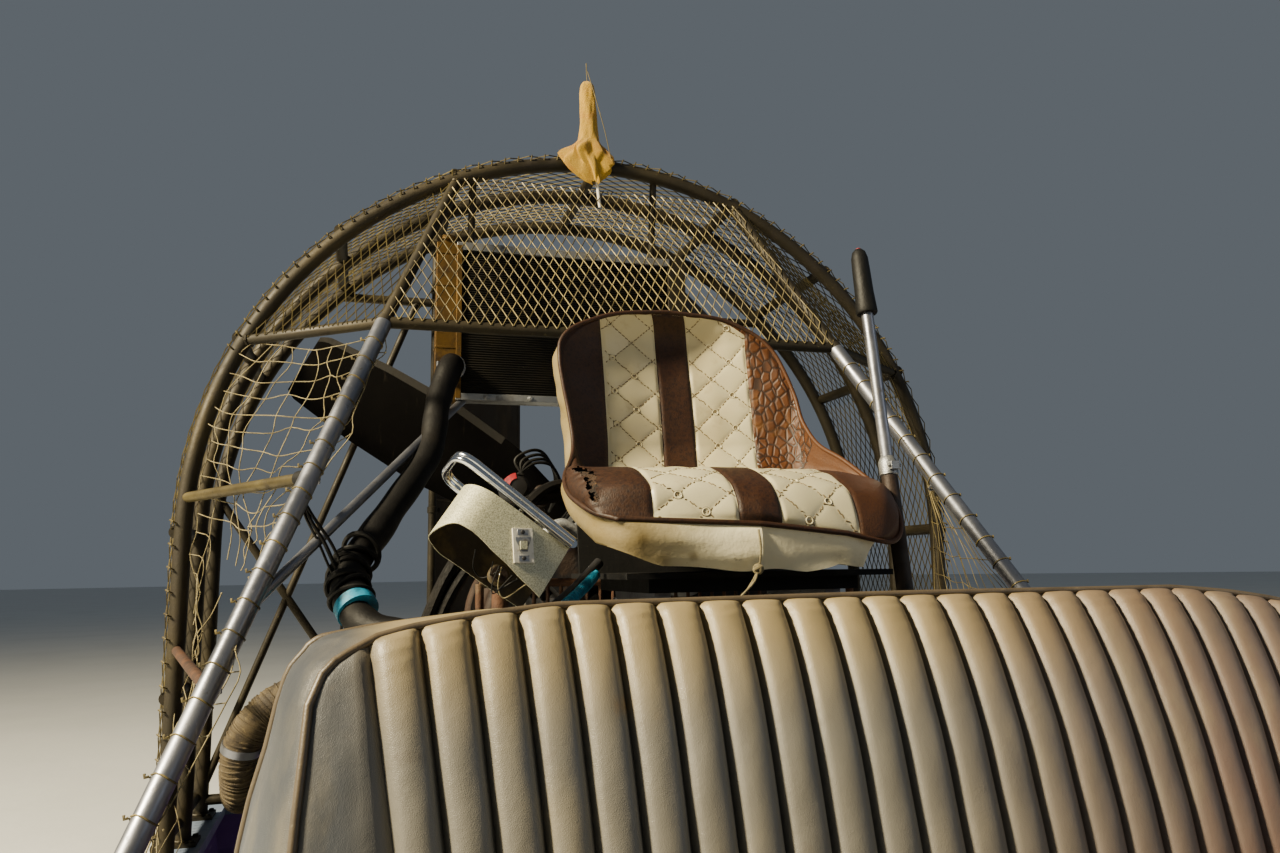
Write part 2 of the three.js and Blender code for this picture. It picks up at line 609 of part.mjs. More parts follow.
function engineParts() {
  const section = [...BLOCK_HALF, ...BLOCK_HALF.map(([x, z]) => [-x, z]).reverse()];
  const block = [loft([BLOCK_FRONT, BLOCK_REAR].map((y) => section.map(([x, z]) => v(x, y, z))))];
  const distributor = [[0, 0], [26, 0], [26, 62], [58, 70], [58, 108], [40, 128], [0, 130]];
  block.push(lathe(distributor, v(-30, -175, 1340), v(0, 0, 1), 10));
  // Belt drive at the front, over the crank, the water pump and the alternator: x, z, radius
  const pulleys = [[0, CRANK_Z, 88], [0, 1290, 72], [300, 1160, 42]];
  for (const [x, z, radius] of pulleys) {
    block.push(rod(v(x, BLOCK_FRONT - 60, z), v(x, BLOCK_FRONT - 32, z), radius, 14));
    block.push(rod(v(x, BLOCK_FRONT - 40, z), v(x, BLOCK_FRONT + 5, z), radius * 0.55, 10));
  }
  const wrapped = (extra, from, to) => wasm.Manifold.hull(pulleys.map(([x, z, radius]) => {
    return rod(v(x, BLOCK_FRONT - from, z), v(x, BLOCK_FRONT - to, z), radius + extra, 14);
  }));
  block.push(wrapped(6, 54, 38).subtract(wrapped(-2, 60, 32)));
  block.push(rod(v(300, BLOCK_FRONT - 24, 1160), v(300, BLOCK_FRONT + 36, 1160), 58, 14));
  block.push(box(180, 280, BLOCK_FRONT - 12, BLOCK_FRONT + 20, 1120, 1150));

  // Oil filter and starter motor low on the sides
  block.push(rod(v(140, -420, 985), v(222, -420, 925), 44, 12));
  block.push(rod(v(-170, -330, 962), v(-170, -125, 962), 40, 12));
  block.push(rod(v(-196, -300, 1010), v(-196, -180, 1010), 22, 10));
  piece("engine_block", joined(block), FINISH.iron);

  const posts = [];
  for (const x of [-330, 330]) {
    for (const y of [-668, -60]) {
      posts.push(rod(v(x * 1.25, y, DECK_TOP - 3), v(x, y, RAIL_Z), 20));
    }
    posts.push(rod(v(x, -680, RAIL_Z), v(x, -48, RAIL_Z), 20));
    posts.push(rod(v(x * 1.2, -660, 250), v(x, -70, RAIL_Z - 10), 14));
    posts.push(rod(v(x, -60, RAIL_Z), v(x * 0.5, -60, 1330), 16));
    for (const y of [-490, -260]) {
      posts.push(box(Math.min(x, x * 0.68), Math.max(x, x * 0.68), y - 30, y + 30, RAIL_Z - 12, RAIL_Z + 14));
    }
  }
  for (const y of [-668, -60]) {
    posts.push(rod(v(-330, y, RAIL_Z), v(330, y, RAIL_Z), 18));
    posts.push(rod(v(-400, y, 250), v(400, y, 250), 14));
  }

  const drive = [];
  for (const [radius, z] of [[130, CRANK_Z], [115, SPRING_Z]]) {
    drive.push(rod(v(0, BLOCK_REAR + GAP, z), v(0, 60, z), radius, 16));
  }
  drive.push(box(-112, 112, BLOCK_REAR + GAP, 60, CRANK_Z, SPRING_Z));
  drive.push(rod(v(0, 55, SPRING_Z), v(0, BOSS_Y, SPRING_Z), 62, 14));
  const bore = rod(v(0, 10, SPRING_Z), v(0, 120, SPRING_Z), SHAFT_R + 1, 24);
  piece("reduction_drive", joined(drive).subtract(bore), FINISH.cover);
  piece("engine_stand", joined(posts), FINISH.tube, ["floor_boards", "engine_block", "reduction_drive"]);

  for (const [side, sign] of SIDES) {
    const slant = [0, sign * 45, 0];
    const spot = [sign * 190, 0, 1276];
    const head = turned(box(-88, 88, BLOCK_FRONT + 15, BLOCK_REAR - 15, 0, 88), slant, spot);
    const cover = turned(box(-56, 56, BLOCK_FRONT + 25, BLOCK_REAR - 25, 80, 150), slant, spot);
    piece(`cylinder_head_${side}`, head.add(cover), FINISH.cover, ["engine_block"]);

    const exhaust = [rod(v(sign * 408, -600, 1085), v(sign * 408, -70, 1085), 38, 10)];
    for (const y of [-565, -435, -305, -175]) {
      const run = [v(sign * 300, y, 1275), v(sign * 372, y, 1270), v(sign * 408, y + 10, 1200), v(sign * 408, y + 15, 1090)];
      exhaust.push(tube(run, 19, 6));
    }
    const pipe = [
      v(sign * 408, -80, 1085), v(sign * 450, 0, 1080), v(sign * 640, 20, 1020), v(sign * 900, -20, 950),
      v(sign * 975, -20, 860), v(sign * 985, 40, 730), v(sign * 985, 200, 690), v(sign * 985, 500, 680),
      v(sign * 985, 800, 680),
    ];
    exhaust.push(hose(pipe, 42, 18, 8));
    piece(`exhaust_${side}`, joined(exhaust), FINISH.rust, [`cylinder_head_${side}`, "engine_stand"]);
  }

  const cleaner = [[0, 0], [60, 0], [60, 40], [168, 48], [168, 118], [60, 126], [0, 130]];
  const intake = joined([
    box(-108, 108, -560, -190, 1345 + GAP, 1392),
    box(-70, 70, -465, -315, 1380, 1440),
    lathe(cleaner, v(0, -390, 1432), v(0, 0, 1), 18),
  ]);
  piece("intake", intake, FINISH.cover, ["cylinder_head_starboard", "cylinder_head_port", "engine_block"]);
}

// Radiator under the cage's top
const RADIATOR = { left: -503, coreLeft: -440, coreRight: 228, right: 287, low: 1790, high: 2262, y0: 25, y1: 85 };

function radiatorParts() {
  const r = RADIATOR;
  const straps = [-400, 180].map((x) => {
    const top = SPRING_Z + Math.sqrt(ARCH_R ** 2 - x ** 2);
    return rod(v(x, 55, r.high + 4), v(x, 12, top), 11);
  });
  const radiator = joined([
    box(r.coreLeft - 5, r.coreRight + 5, r.y0 + 6, r.y1 - 6, r.low, r.high),
    box(r.left, r.coreLeft, r.y0, r.y1, r.low - 6, r.high + 6),
    box(r.coreRight, r.right, r.y0, r.y1, r.low + 20, r.high + 14),
    box(r.coreLeft - 5, r.coreRight + 5, r.y0, r.y1, r.low - 4, r.low + 14),
    box(r.coreLeft - 5, r.coreRight + 5, r.y0, r.y1, r.high - 14, r.high + 10),
    ...straps,
  ]);
  piece("radiator", radiator, FINISH.brass, ["hoop_front"]);
  const feed = [
    v(-455, 22, 1880), v(-462, -20, 1875), v(-500, -75, 1760), v(-526, -150, 1612), v(-640, -340, 1420),
    v(-725, -500, 1270), v(-690, -610, 1180), v(-560, -700, 1150), v(-300, -720, 1180), v(-120, -700, 1265),
  ];
  piece("radiator_hose", hose(feed, 38, 20, 8), FINISH.black, ["radiator", "engine_block", "engine_guard"]);
}

// Guard cage
const LEG = SPRING_Z - GUNWALE_Z;
const ARCH = Math.PI * ARCH_R;
const WALL_R = ARCH_R + 28;
const BAR_R = ARCH_R + 16;
const LONG_BARS = [0, 27.2, 48, 67, 90, 113, 132, 152.8, 180];

// A place on the cage's wall: run along a hoop from the starboard foot, y and radius
function onWall(run, y, radius) {
  if (run < LEG) {
    return v(-radius, y, GUNWALE_Z + run);
  }
  if (run > LEG + ARCH) {
    return v(radius, y, GUNWALE_Z + 2 * LEG + ARCH - run);
  }
  const turn = Math.PI - (run - LEG) / ARCH_R;
  return v(radius * Math.cos(turn), y, SPRING_Z + radius * Math.sin(turn));
}

function hoopParts() {
  for (const [name, y] of HOOPS) {
    const route = [v(-ARCH_R, y, GUNWALE_Z + GAP)];
    for (let i = 0; i <= 24; i += 1) {
      route.push(onWall(LEG + (ARCH * i) / 24, y, ARCH_R));
    }
    route.push(v(ARCH_R, y, GUNWALE_Z + GAP));
    const forms = [tube(route, HOOP_TUBE_R)];
    for (const x of [-ARCH_R, ARCH_R]) {
      forms.push(box(x - 40, x + 40, y - 45, y + 45, GUNWALE_Z + GAP, GUNWALE_Z + 10));
    }
    if (name === "rear") {
      for (const x of [-RUDDER_X, RUDDER_X]) {
        forms.push(box(x - 20, x + 20, y, RUDDER_Y + 22, 2436, 2448));
        forms.push(rod(v(x, RUDDER_Y, 2396), v(x, RUDDER_Y, 2440), PIN_R, 12));
      }
    }
    piece(`hoop_${name}`, joined(forms), FINISH.tube);
  }
}

function wallParts() {
  const whole = 2 * LEG + ARCH;
  const rods = [];
  const runs = LONG_BARS.map((deg) => LEG + (ARCH * deg) / 180);
  for (const run of [60, LEG / 2, ...runs, whole - LEG / 2, whole - 60]) {
    rods.push(rod(onWall(run, 0, BAR_R), onWall(run, REAR_Y, BAR_R), 18));
  }
  const slope = 2;
  const reach = slope * REAR_Y;
  const step = (whole - 60 + reach) / 10;
  for (let start = 30 - reach; start < whole - 90; start += step) {
    for (const [first, second] of [[0, REAR_Y], [REAR_Y, 0]]) {
      const route = [];
      const [low, high] = [Math.max(start, 30), Math.min(start + reach, whole - 30)];
      const steps = Math.max(1, Math.round((high - low) / 230));
      for (let i = 0; i <= steps; i += 1) {
        const run = low + ((high - low) * i) / steps;
        route.push(onWall(run, first + ((second - first) * (run - start)) / reach, WALL_R));
      }
      if (high - low > 150) {
        rods.push(tube(route, 5, 4));
      }
    }
  }
  piece("cage_wall", joined(rods), FINISH.mesh, ["hoop_front", "hoop_middle", "hoop_rear"]);
}

function visorParts() {
  const ends = [-1, 1].map((sign) => at(VISOR_END, sign));
  const tops = [-1, 1].map((sign) => at(VISOR_TOP, sign));
  const hips = [-1, 1].map((sign) => at(VISOR_HIP, sign));
  const frame = [rod(ends[0], ends[1], 16)];
  for (const k of [0, 1]) {
    frame.push(rod(tops[k], ends[k], 17), rod(hips[k], ends[k], 15));
  }
  frame.push(lattice([ends[0], ends[1], tops[1], tops[0]], 300, 1.5, 5));
  for (const k of [0, 1]) {
    frame.push(lattice([ends[k], hips[k], tops[k]], 300, 1.7, 5));
  }
  piece("visor", joined(frame), FINISH.tube, ["hoop_front"]);
}

function sideParts() {
  for (const [side, sign] of SIDES) {
    const top = at(VISOR_END, sign);
    const foot = at(DIAGONAL_FOOT, sign);
    const down = foot.clone().sub(top).normalize();
    const main = rod(top.clone().addScaledVector(down, 6), foot.clone().addScaledVector(down, 12), 22, 10);
    const bars = [
      main,
      rod(v(sign * ARCH_R, 0, 1440), along(top, foot, 0.34), 14),
      rod(v(sign * ARCH_R, 0, 1095), along(top, foot, 0.62), 12),
      box(Math.min(sign * 1110, sign * 1186), Math.max(sign * 1110, sign * 1186), -1140, -1040, GUNWALE_Z + GAP, GUNWALE_Z + 12),
    ];
    if (side === "starboard") {
      bars.push(rod(along(top, foot, 0.44), v(-492, 52, 1790), 12));
    }
    piece(`diagonal_${side}`, joined(bars), FINISH.bare, ["visor", "hoop_front", "gunwale", "radiator"]);

    // The net runs inboard of the braces; the starboard one is torn off the leg below the upper brace
    const inboard = v(-sign * 34, 0, 0);
    const low = side === "port" ? [v(sign * ARCH_R, 0, 640), 0.93] : [v(sign * 1050, -130, 1560), 0.9];
    const corners = [at(VISOR_HIP, sign), top, along(top, foot, low[1]), low[0]].map((p) => p.clone().add(inboard));
    const [a, b, c, d] = corners;
    const patch = [along(a, b, 0.12), along(b, c, 0.05), c, along(d, c, 0.06)];
    piece(`net_${side}`, net(patch, 3, 4, 3), FINISH.string, ["visor", "hoop_front", `diagonal_${side}`]);
  }
}

function rearFrameParts() {
  const y = REAR_Y;
  const bars = [rod(v(-787, y, 2230), v(787, y, 2230), 15), rod(v(-ARCH_R, y, 600), v(ARCH_R, y, 600), 16)];
  for (const sign of [-1, 1]) {
    bars.push(rod(v(sign * 531, y, 2230), v(sign * ARCH_R, y, 625), 12));
    bars.push(rod(v(sign * ARCH_R, y, 1543), v(sign * 510, y, 600), 13));
    bars.push(box(sign * RUDDER_X - 20, sign * RUDDER_X + 20, y, RUDDER_Y + 22, 600, PIVOT_TOP));
    bars.push(rod(v(sign * RUDDER_X, RUDDER_Y, 606), v(sign * RUDDER_X, RUDDER_Y, 652), PIN_R, 12));
  }
  piece("rear_frame", joined(bars), FINISH.tube, ["hoop_rear"]);
}

// Rudders, swung with their trailing edges to port as in the photo
function rudderParts() {
  for (const [side, sign] of SIDES) {
    const low = 668;
    const outline = [[0, low], [RUDDER_CHORD, low], [RUDDER_CHORD, 2235], [RUDDER_CHORD - 60, 2320], [0, 2405]];
    const plate = loft([-5, 5].map((half) => outline.map(([a, z]) => v(a, half, z))));
    const post = rod(v(0, 0, PIVOT_TOP + GAP), v(0, 0, 2424), 14, 12);
    const ribs = [900, 1540, 2160].map((z) => box(0, RUDDER_CHORD - 20, -9, 9, z, z + 14));
    const horn = box(0, HORN + 22, -18, 18, HORN_Z, HORN_Z + 10);
    const pin = rod(v(HORN, 0, HORN_Z - 26), v(HORN, 0, HORN_Z + 4), 6, 12);
    const bores = [[600, 660], [2388, 2440]].map(([z0, z1]) => rod(v(0, 0, z0), v(0, 0, z1), PIN_R + 0.9, 12));
    const blade = bores.reduce((rest, bore) => rest.subtract(bore), joined([plate, post, ...ribs, horn, pin]));
    const place = [sign * RUDDER_X, RUDDER_Y, 0];
    piece(`rudder_${side}`, turned(blade, [0, 0, RUDDER_REST], place), FINISH.rudder);
  }
  const shift = HORN * Math.cos((RUDDER_REST * Math.PI) / 180);
  const tie = box(-RUDDER_X - 24, RUDDER_X + 24, -12, 12, HORN_Z - 12, HORN_Z - GAP);
  const eyes = [-1, 1].map((sign) => rod(v(sign * RUDDER_X, 0, 620), v(sign * RUDDER_X, 0, 670), 6.9, 12));
  const bar = eyes.reduce((rest, eye) => rest.subtract(eye), tie);
  piece("rudder_tie_bar", bar.translate([shift, RUDDER_Y + shift, 0]), FINISH.bare);
}

// Blade stations: radius, chord, thickness, pitch angle
const BLADE = [
  [62, 120, 46, 52], [180, 210, 40, 46], [330, 285, 32, 38], [560, 305, 24, 30], [800, 275, 18, 24], [1000, 225, 12, 20],
  [PROP_R, 200, 8, 20],
];

function propellerParts() {
  const forms = [
    rod(v(0, PROP_Y - 70, SPRING_Z), v(0, PROP_Y + 55, SPRING_Z), 72, 16),
    rod(v(0, PROP_Y - 82, SPRING_Z), v(0, PROP_Y - 68, SPRING_Z), 95, 16),
    lathe([[0, 0], [60, 0], [44, 30], [0, 44]], v(0, PROP_Y + 54, SPRING_Z), v(0, 1, 0), 16),
    rod(v(0, 16, SPRING_Z), v(0, PROP_Y - 75, SPRING_Z), SHAFT_R, 24),
    rod(v(0, BOSS_Y + GAP, SPRING_Z), v(0, BOSS_Y + 14, SPRING_Z), SHAFT_R + 14, 16),
  ];
  for (const turn of [180 - BLADE_RISE, -BLADE_RISE]) {
    const rows = BLADE.map(([radius, chord, thick, pitch]) => {
      const lean = (pitch * Math.PI) / 180;
      const shape = [[-0.5, 0], [-0.3, 0.42], [0.1, 0.5], [0.5, 0], [0.1, -0.3], [-0.3, -0.3]];
      return shape.map(([a, b]) => {
        const [c, t] = [a * chord, b * thick];
        return v(radius, c * Math.sin(lean) + t * Math.cos(lean), c * Math.cos(lean) - t * Math.sin(lean));
      });
    });
    forms.push(turned(loft(rows), [0, -turn, 0], [0, PROP_Y, SPRING_Z]));
  }
  piece("propeller", joined(forms), FINISH.black);
}

function pennantParts() {
  // The staff is tied against the front of the hoop's crown and ends in a thin whip
  const staffY = -HOOP_TUBE_R - 5;
  const staff = [v(-10, staffY, 2404), v(-26, staffY, 2560), v(-46, staffY, 2800)];
  const whip = rod(v(-46, staffY, 2790), v(-50, staffY, 2885), 2.5, 5);
  piece("pennant_staff", tube(staff, 5, 6).add(whip), FINISH.string, ["hoop_front", "cage_wall"]);
  // Cloth rings from the tip down: z, half width, half depth, sideways shift
  const rows = [
    [2820, 6, 6, -48], [2790, 25, 15, -47], [2700, 27, 17, -45], [2625, 32, 19, -44], [2585, 64, 22, -50], [2545, 72, 22, -46],
    [2505, 40, 17, -32], [2478, 12, 8, -26],
  ];
  const rings = rows.map(([z, wide, deep, shift]) => {
    const corners = [];
    for (let i = 0; i < 8; i += 1) {
      const turn = (i / 8) * 2 * Math.PI;
      corners.push(v(shift + wide * Math.cos(turn), staffY + deep * Math.sin(turn), z));
    }
    return corners;
  });
  piece("pennant", loft(rings), FINISH.cloth, ["pennant_staff", "hoop_front", "cage_wall", "visor"]);
}

hullParts();
benchParts();
driverParts();
stickParts();
consoleParts();
engineParts();
hoopParts();
radiatorParts();
wallParts();
visorParts();
sideParts();
rearFrameParts();
rudderParts();
propellerParts();
pennantParts();

const extent = new THREE.Box3().setFromObject(craft);
craft.position.set(0, -(extent.min.y + extent.max.y) / 2, -extent.min.z);
craft.updateMatrixWorld(true);

export default craft;
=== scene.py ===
"""Looks of an airboat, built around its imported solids.

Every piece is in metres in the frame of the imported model. P() takes millimetres measured
from the plane of the guard's front hoop, as the solids were drawn: X to port, Y aft, Z up.
"""

import itertools
import math

import bmesh
import bpy
import numpy as np
from mathutils import Matrix, Vector


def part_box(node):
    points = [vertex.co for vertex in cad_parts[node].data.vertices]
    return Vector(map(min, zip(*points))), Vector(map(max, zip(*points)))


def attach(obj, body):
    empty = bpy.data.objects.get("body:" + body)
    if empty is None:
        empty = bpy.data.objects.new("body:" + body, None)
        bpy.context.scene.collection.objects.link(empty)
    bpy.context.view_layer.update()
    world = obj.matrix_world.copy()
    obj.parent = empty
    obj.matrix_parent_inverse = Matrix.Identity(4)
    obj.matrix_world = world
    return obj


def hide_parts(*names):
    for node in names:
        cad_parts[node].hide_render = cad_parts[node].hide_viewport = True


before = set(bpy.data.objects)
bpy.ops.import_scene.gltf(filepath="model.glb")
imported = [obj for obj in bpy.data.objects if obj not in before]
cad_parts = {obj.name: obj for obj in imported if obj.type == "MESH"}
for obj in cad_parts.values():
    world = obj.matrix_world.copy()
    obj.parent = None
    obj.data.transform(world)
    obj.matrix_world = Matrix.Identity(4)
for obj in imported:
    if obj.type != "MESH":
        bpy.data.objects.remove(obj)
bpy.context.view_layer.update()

front_low, front_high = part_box("hoop_front")
SHIFT = (front_low.y + front_high.y) / 2

# Driving dimensions of the guard cage, in millimetres
SPRING_Z = 1400
ARCH_R = 1150
GUNWALE_Z = 550
REAR_Y = 559
HOOP_TUBE_R = 22
LEG = SPRING_Z - GUNWALE_Z
ARCH = math.pi * ARCH_R
RUN = 2 * LEG + ARCH
# Angles round the arch, in degrees
LONG_BARS = [0, 27.2, 48, 67, 90, 113, 132, 152.8, 180]
VISOR_TOP = (448, 0, 2459)
VISOR_END = (657, -262, 1932)
VISOR_HIP = (1022, 0, 1926)
DIAGONAL_FOOT = (1153, -1086, 552)
SIDES = (("starboard", -1), ("port", 1))
# Undersides of foot plates and of posts, on the floor boards
PLATE_LOW, POST_LOW = 60.3, 60.5
# Posts of the rudders, their swing at rest in degrees, and the arm to the tie bar
RUDDER_X, RUDDER_Y, RUDDER_REST, HORN = 460, 640, 45, 150
PROPELLER_Y = 285
CRANK_Z = 1110


def P(x, y, z):
    return np.array((x / 1000, y / 1000 + SHIFT, z / 1000))


def at(point, sign):
    return P(sign * point[0], point[1], point[2])


def along(a, b, part):
    return a + (b - a) * part


def unit(vector):
    vector = np.asarray(vector, float)
    return vector / np.linalg.norm(vector)


def square_to(axis, other=(1, 0, 0)):
    """Two unit vectors square to an axis; other is crossed with an axis that is nearly upright."""
    axis = unit(axis)
    side = unit(np.cross(axis, (0, 0, 1) if abs(axis[2]) < 0.9 else other))
    return side, np.cross(axis, side)


def turns(count):
    """Angles of a full circle, in equal steps."""
    return np.arange(count) / count * 2 * math.pi


def circle(centre, side, up, radius, count):
    angles = turns(count)
    return np.asarray(centre) + radius * (np.outer(np.cos(angles), side) + np.outer(np.sin(angles), up))


# Camera, floor and light

CAMERA_PLACE = (-702, -2696, 1285)
CAMERA_TURNS = ((-16.9, "Z"), (98.72, "X"), (-0.99, "Z"))
CAMERA_LENS = 25.95


def make_camera():
    data = bpy.data.cameras.new("camera")
    data.sensor_width = 36
    data.lens = CAMERA_LENS
    camera = bpy.data.objects.new("camera", data)
    bpy.context.scene.collection.objects.link(camera)
    turn = Matrix.Identity(4)
    for angle, axis in CAMERA_TURNS:
        turn = turn @ Matrix.Rotation(math.radians(angle), 4, axis)
    camera.matrix_world = Matrix.Translation(Vector(P(*CAMERA_PLACE))) @ turn
    data.clip_end = 400
    bpy.context.scene.camera = camera


def area_light(name, place, target, size, power, colour):
    data = bpy.data.lights.new(name, "AREA")
    data.shape = "DISK"
    data.size = size
    data.energy = power
    data.color = colour
    lamp = bpy.data.objects.new(name, data)
    bpy.context.scene.collection.objects.link(lamp)
    place, target = Vector(place), Vector(target)
    lamp.location = place
    lamp.rotation_euler = (target - place).to_track_quat("-Z", "Y").to_euler()


# Materials

def linear(code):
    """Linear colour of a hexadecimal code."""
    parts = [int(code[i : i + 2], 16) / 255 for i in (0, 2, 4)]
    return tuple(c / 12.92 if c <= 0.04045 else ((c + 0.055) / 1.055) ** 2.4 for c in parts) + (1.0,)


class Finish:
    """A procedural material: a base colour, layers over it, and bumps."""

    def __init__(self, name, colour, rough=(0.45, 0.6), metal=0.0, **fixed):
        self.material = bpy.data.materials.new(name)
        self.material.use_nodes = True
        tree = self.material.node_tree
        self.nodes, self.links = tree.nodes, tree.links
        self.shader = self.nodes["Principled BSDF"]
        self.shader.inputs["Metallic"].default_value = metal
        for key, value in fixed.items():
            self.shader.inputs[key.replace("_", " ")].default_value = value
        self.coords = self.nodes.new("ShaderNodeTexCoord").outputs["Object"]
        start = self.nodes.new("ShaderNodeRGB")
        start.outputs[0].default_value = linear(colour)
        self.colour = start.outputs[0]
        base = self.pattern("noise", 9)
        self.rough = self.spread(base, 0.3, 0.7, *rough)
        self.metal = None
        self.height = None
        self.finish()

    def finish(self):
        self.links.new(self.colour, self.shader.inputs["Base Color"])
        self.links.new(self.rough, self.shader.inputs["Roughness"])
        if self.metal:
            self.links.new(self.metal, self.shader.inputs["Metallic"])
        if self.height:
            self.links.new(self.height, self.shader.inputs["Normal"])

    def spread(self, socket, low, high, to_low=0.0, to_high=1.0):
        node = self.nodes.new("ShaderNodeMapRange")
        node.interpolation_type = "SMOOTHSTEP"
        node.inputs["From Min"].default_value = low
        node.inputs["From Max"].default_value = high
        node.inputs["To Min"].default_value = to_low
        node.inputs["To Max"].default_value = to_high
        self.links.new(socket, node.inputs["Value"])
        return node.outputs["Result"]

    def maths(self, operation, a, b):
        node = self.nodes.new("ShaderNodeMath")
        node.operation = operation
        for socket, value in zip(node.inputs, (a, b)):
            if isinstance(value, (int, float)):
                socket.default_value = value
            else:
                self.links.new(value, socket)
        return node.outputs[0]

    def placed(self, scale, turn):
        node = self.nodes.new("ShaderNodeMapping")
        node.inputs["Scale"].default_value = scale if isinstance(scale, tuple) else (scale,) * 3
        node.inputs["Rotation"].default_value = [math.radians(a) for a in turn]
        self.links.new(self.coords, node.inputs["Vector"])
        return node.outputs["Vector"]

    def pattern(self, kind, scale, turn=(0, 0, 0)):
        """One of the basic patterns: a value from about 0 to 1, or a coordinate in metres."""
        if kind in ("height", "across"):
            split = self.nodes.new("ShaderNodeSeparateXYZ")
            self.links.new(self.coords, split.inputs[0])
            return split.outputs["Z" if kind == "height" else "X"]
        where = self.placed(scale, turn)
        if kind in ("cells", "cracks"):
            node = self.nodes.new("ShaderNodeTexVoronoi")
            node.feature = "DISTANCE_TO_EDGE" if kind == "cracks" else "F1"
            self.links.new(where, node.inputs["Vector"])
            node.inputs["Scale"].default_value = 1
            return node.outputs["Distance"]
        if kind == "bands":
            node = self.nodes.new("ShaderNodeTexWave")
            node.inputs["Scale"].default_value = 1
            node.inputs["Distortion"].default_value = 0.6
            self.links.new(where, node.inputs["Vector"])
            return node.outputs["Fac"]
        node = self.nodes.new("ShaderNodeTexNoise")
        node.inputs["Scale"].default_value = 1
        node.inputs["Detail"].default_value = 7
        node.inputs["Roughness"].default_value = 0.6
        self.links.new(where, node.inputs["Vector"])
        return node.outputs["Fac"]

    def mix(self, factor, colour):
        node = self.nodes.new("ShaderNodeMix")
        node.data_type = "RGBA"
        self.links.new(factor, node.inputs["Factor"])
        self.links.new(self.colour, node.inputs["A"])
        node.inputs["B"].default_value = linear(colour)
        self.colour = node.outputs["Result"]

    def layer(self, kind, scale, low, high, colour, strength=1.0, rough=None, metal=None, turn=(0, 0, 0)):
        """Colour laid over the base where the pattern runs from low to high."""
        mask = self.maths("MULTIPLY", self.spread(self.pattern(kind, scale, turn), low, high), strength)
        return self.cover(mask, colour, rough, metal)

    def cover(self, mask, colour, rough=None, metal=None):
        self.mix(mask, colour)
        if rough is not None:
            self.rough = self.blend(mask, self.rough, rough)
        if metal is not None:
            before = self.metal or self.shader.inputs["Metallic"].default_value
            self.metal = self.blend(mask, before, metal)
        self.finish()
        return self

    def blend(self, mask, a, b):
        node = self.nodes.new("ShaderNodeMix")
        self.links.new(mask, node.inputs["Factor"])
        if isinstance(a, (int, float)):
            node.inputs["A"].default_value = a
        else:
            self.links.new(a, node.inputs["A"])
        node.inputs["B"].default_value = b
        return node.outputs["Result"]

    def spot(self, centre, radius, colour, strength=0.7):
        """A blotch round a point of the row frame."""
        node = self.nodes.new("ShaderNodeVectorMath")
        node.operation = "DISTANCE"
        self.links.new(self.coords, node.inputs[0])
        node.inputs[1].default_value = Vector(centre)
        ragged = self.maths("MULTIPLY", self.pattern("noise", 40), radius)
        away = self.maths("ADD", node.outputs["Value"], ragged)
        mask = self.maths("MULTIPLY", self.spread(away, radius * 1.6, radius * 0.5), strength)
        return self.cover(mask, colour)

    def bump(self, kind, scale, depth, low=0.0, high=1.0, turn=(0, 0, 0)):
        node = self.nodes.new("ShaderNodeBump")
        node.inputs["Strength"].default_value = 1
        node.inputs["Distance"].default_value = depth
        self.links.new(self.spread(self.pattern(kind, scale, turn), low, high), node.inputs["Height"])
        if self.height:
            self.links.new(self.height, node.inputs["Normal"])
        self.height = node.outputs["Normal"]
        self.finish()
        return self


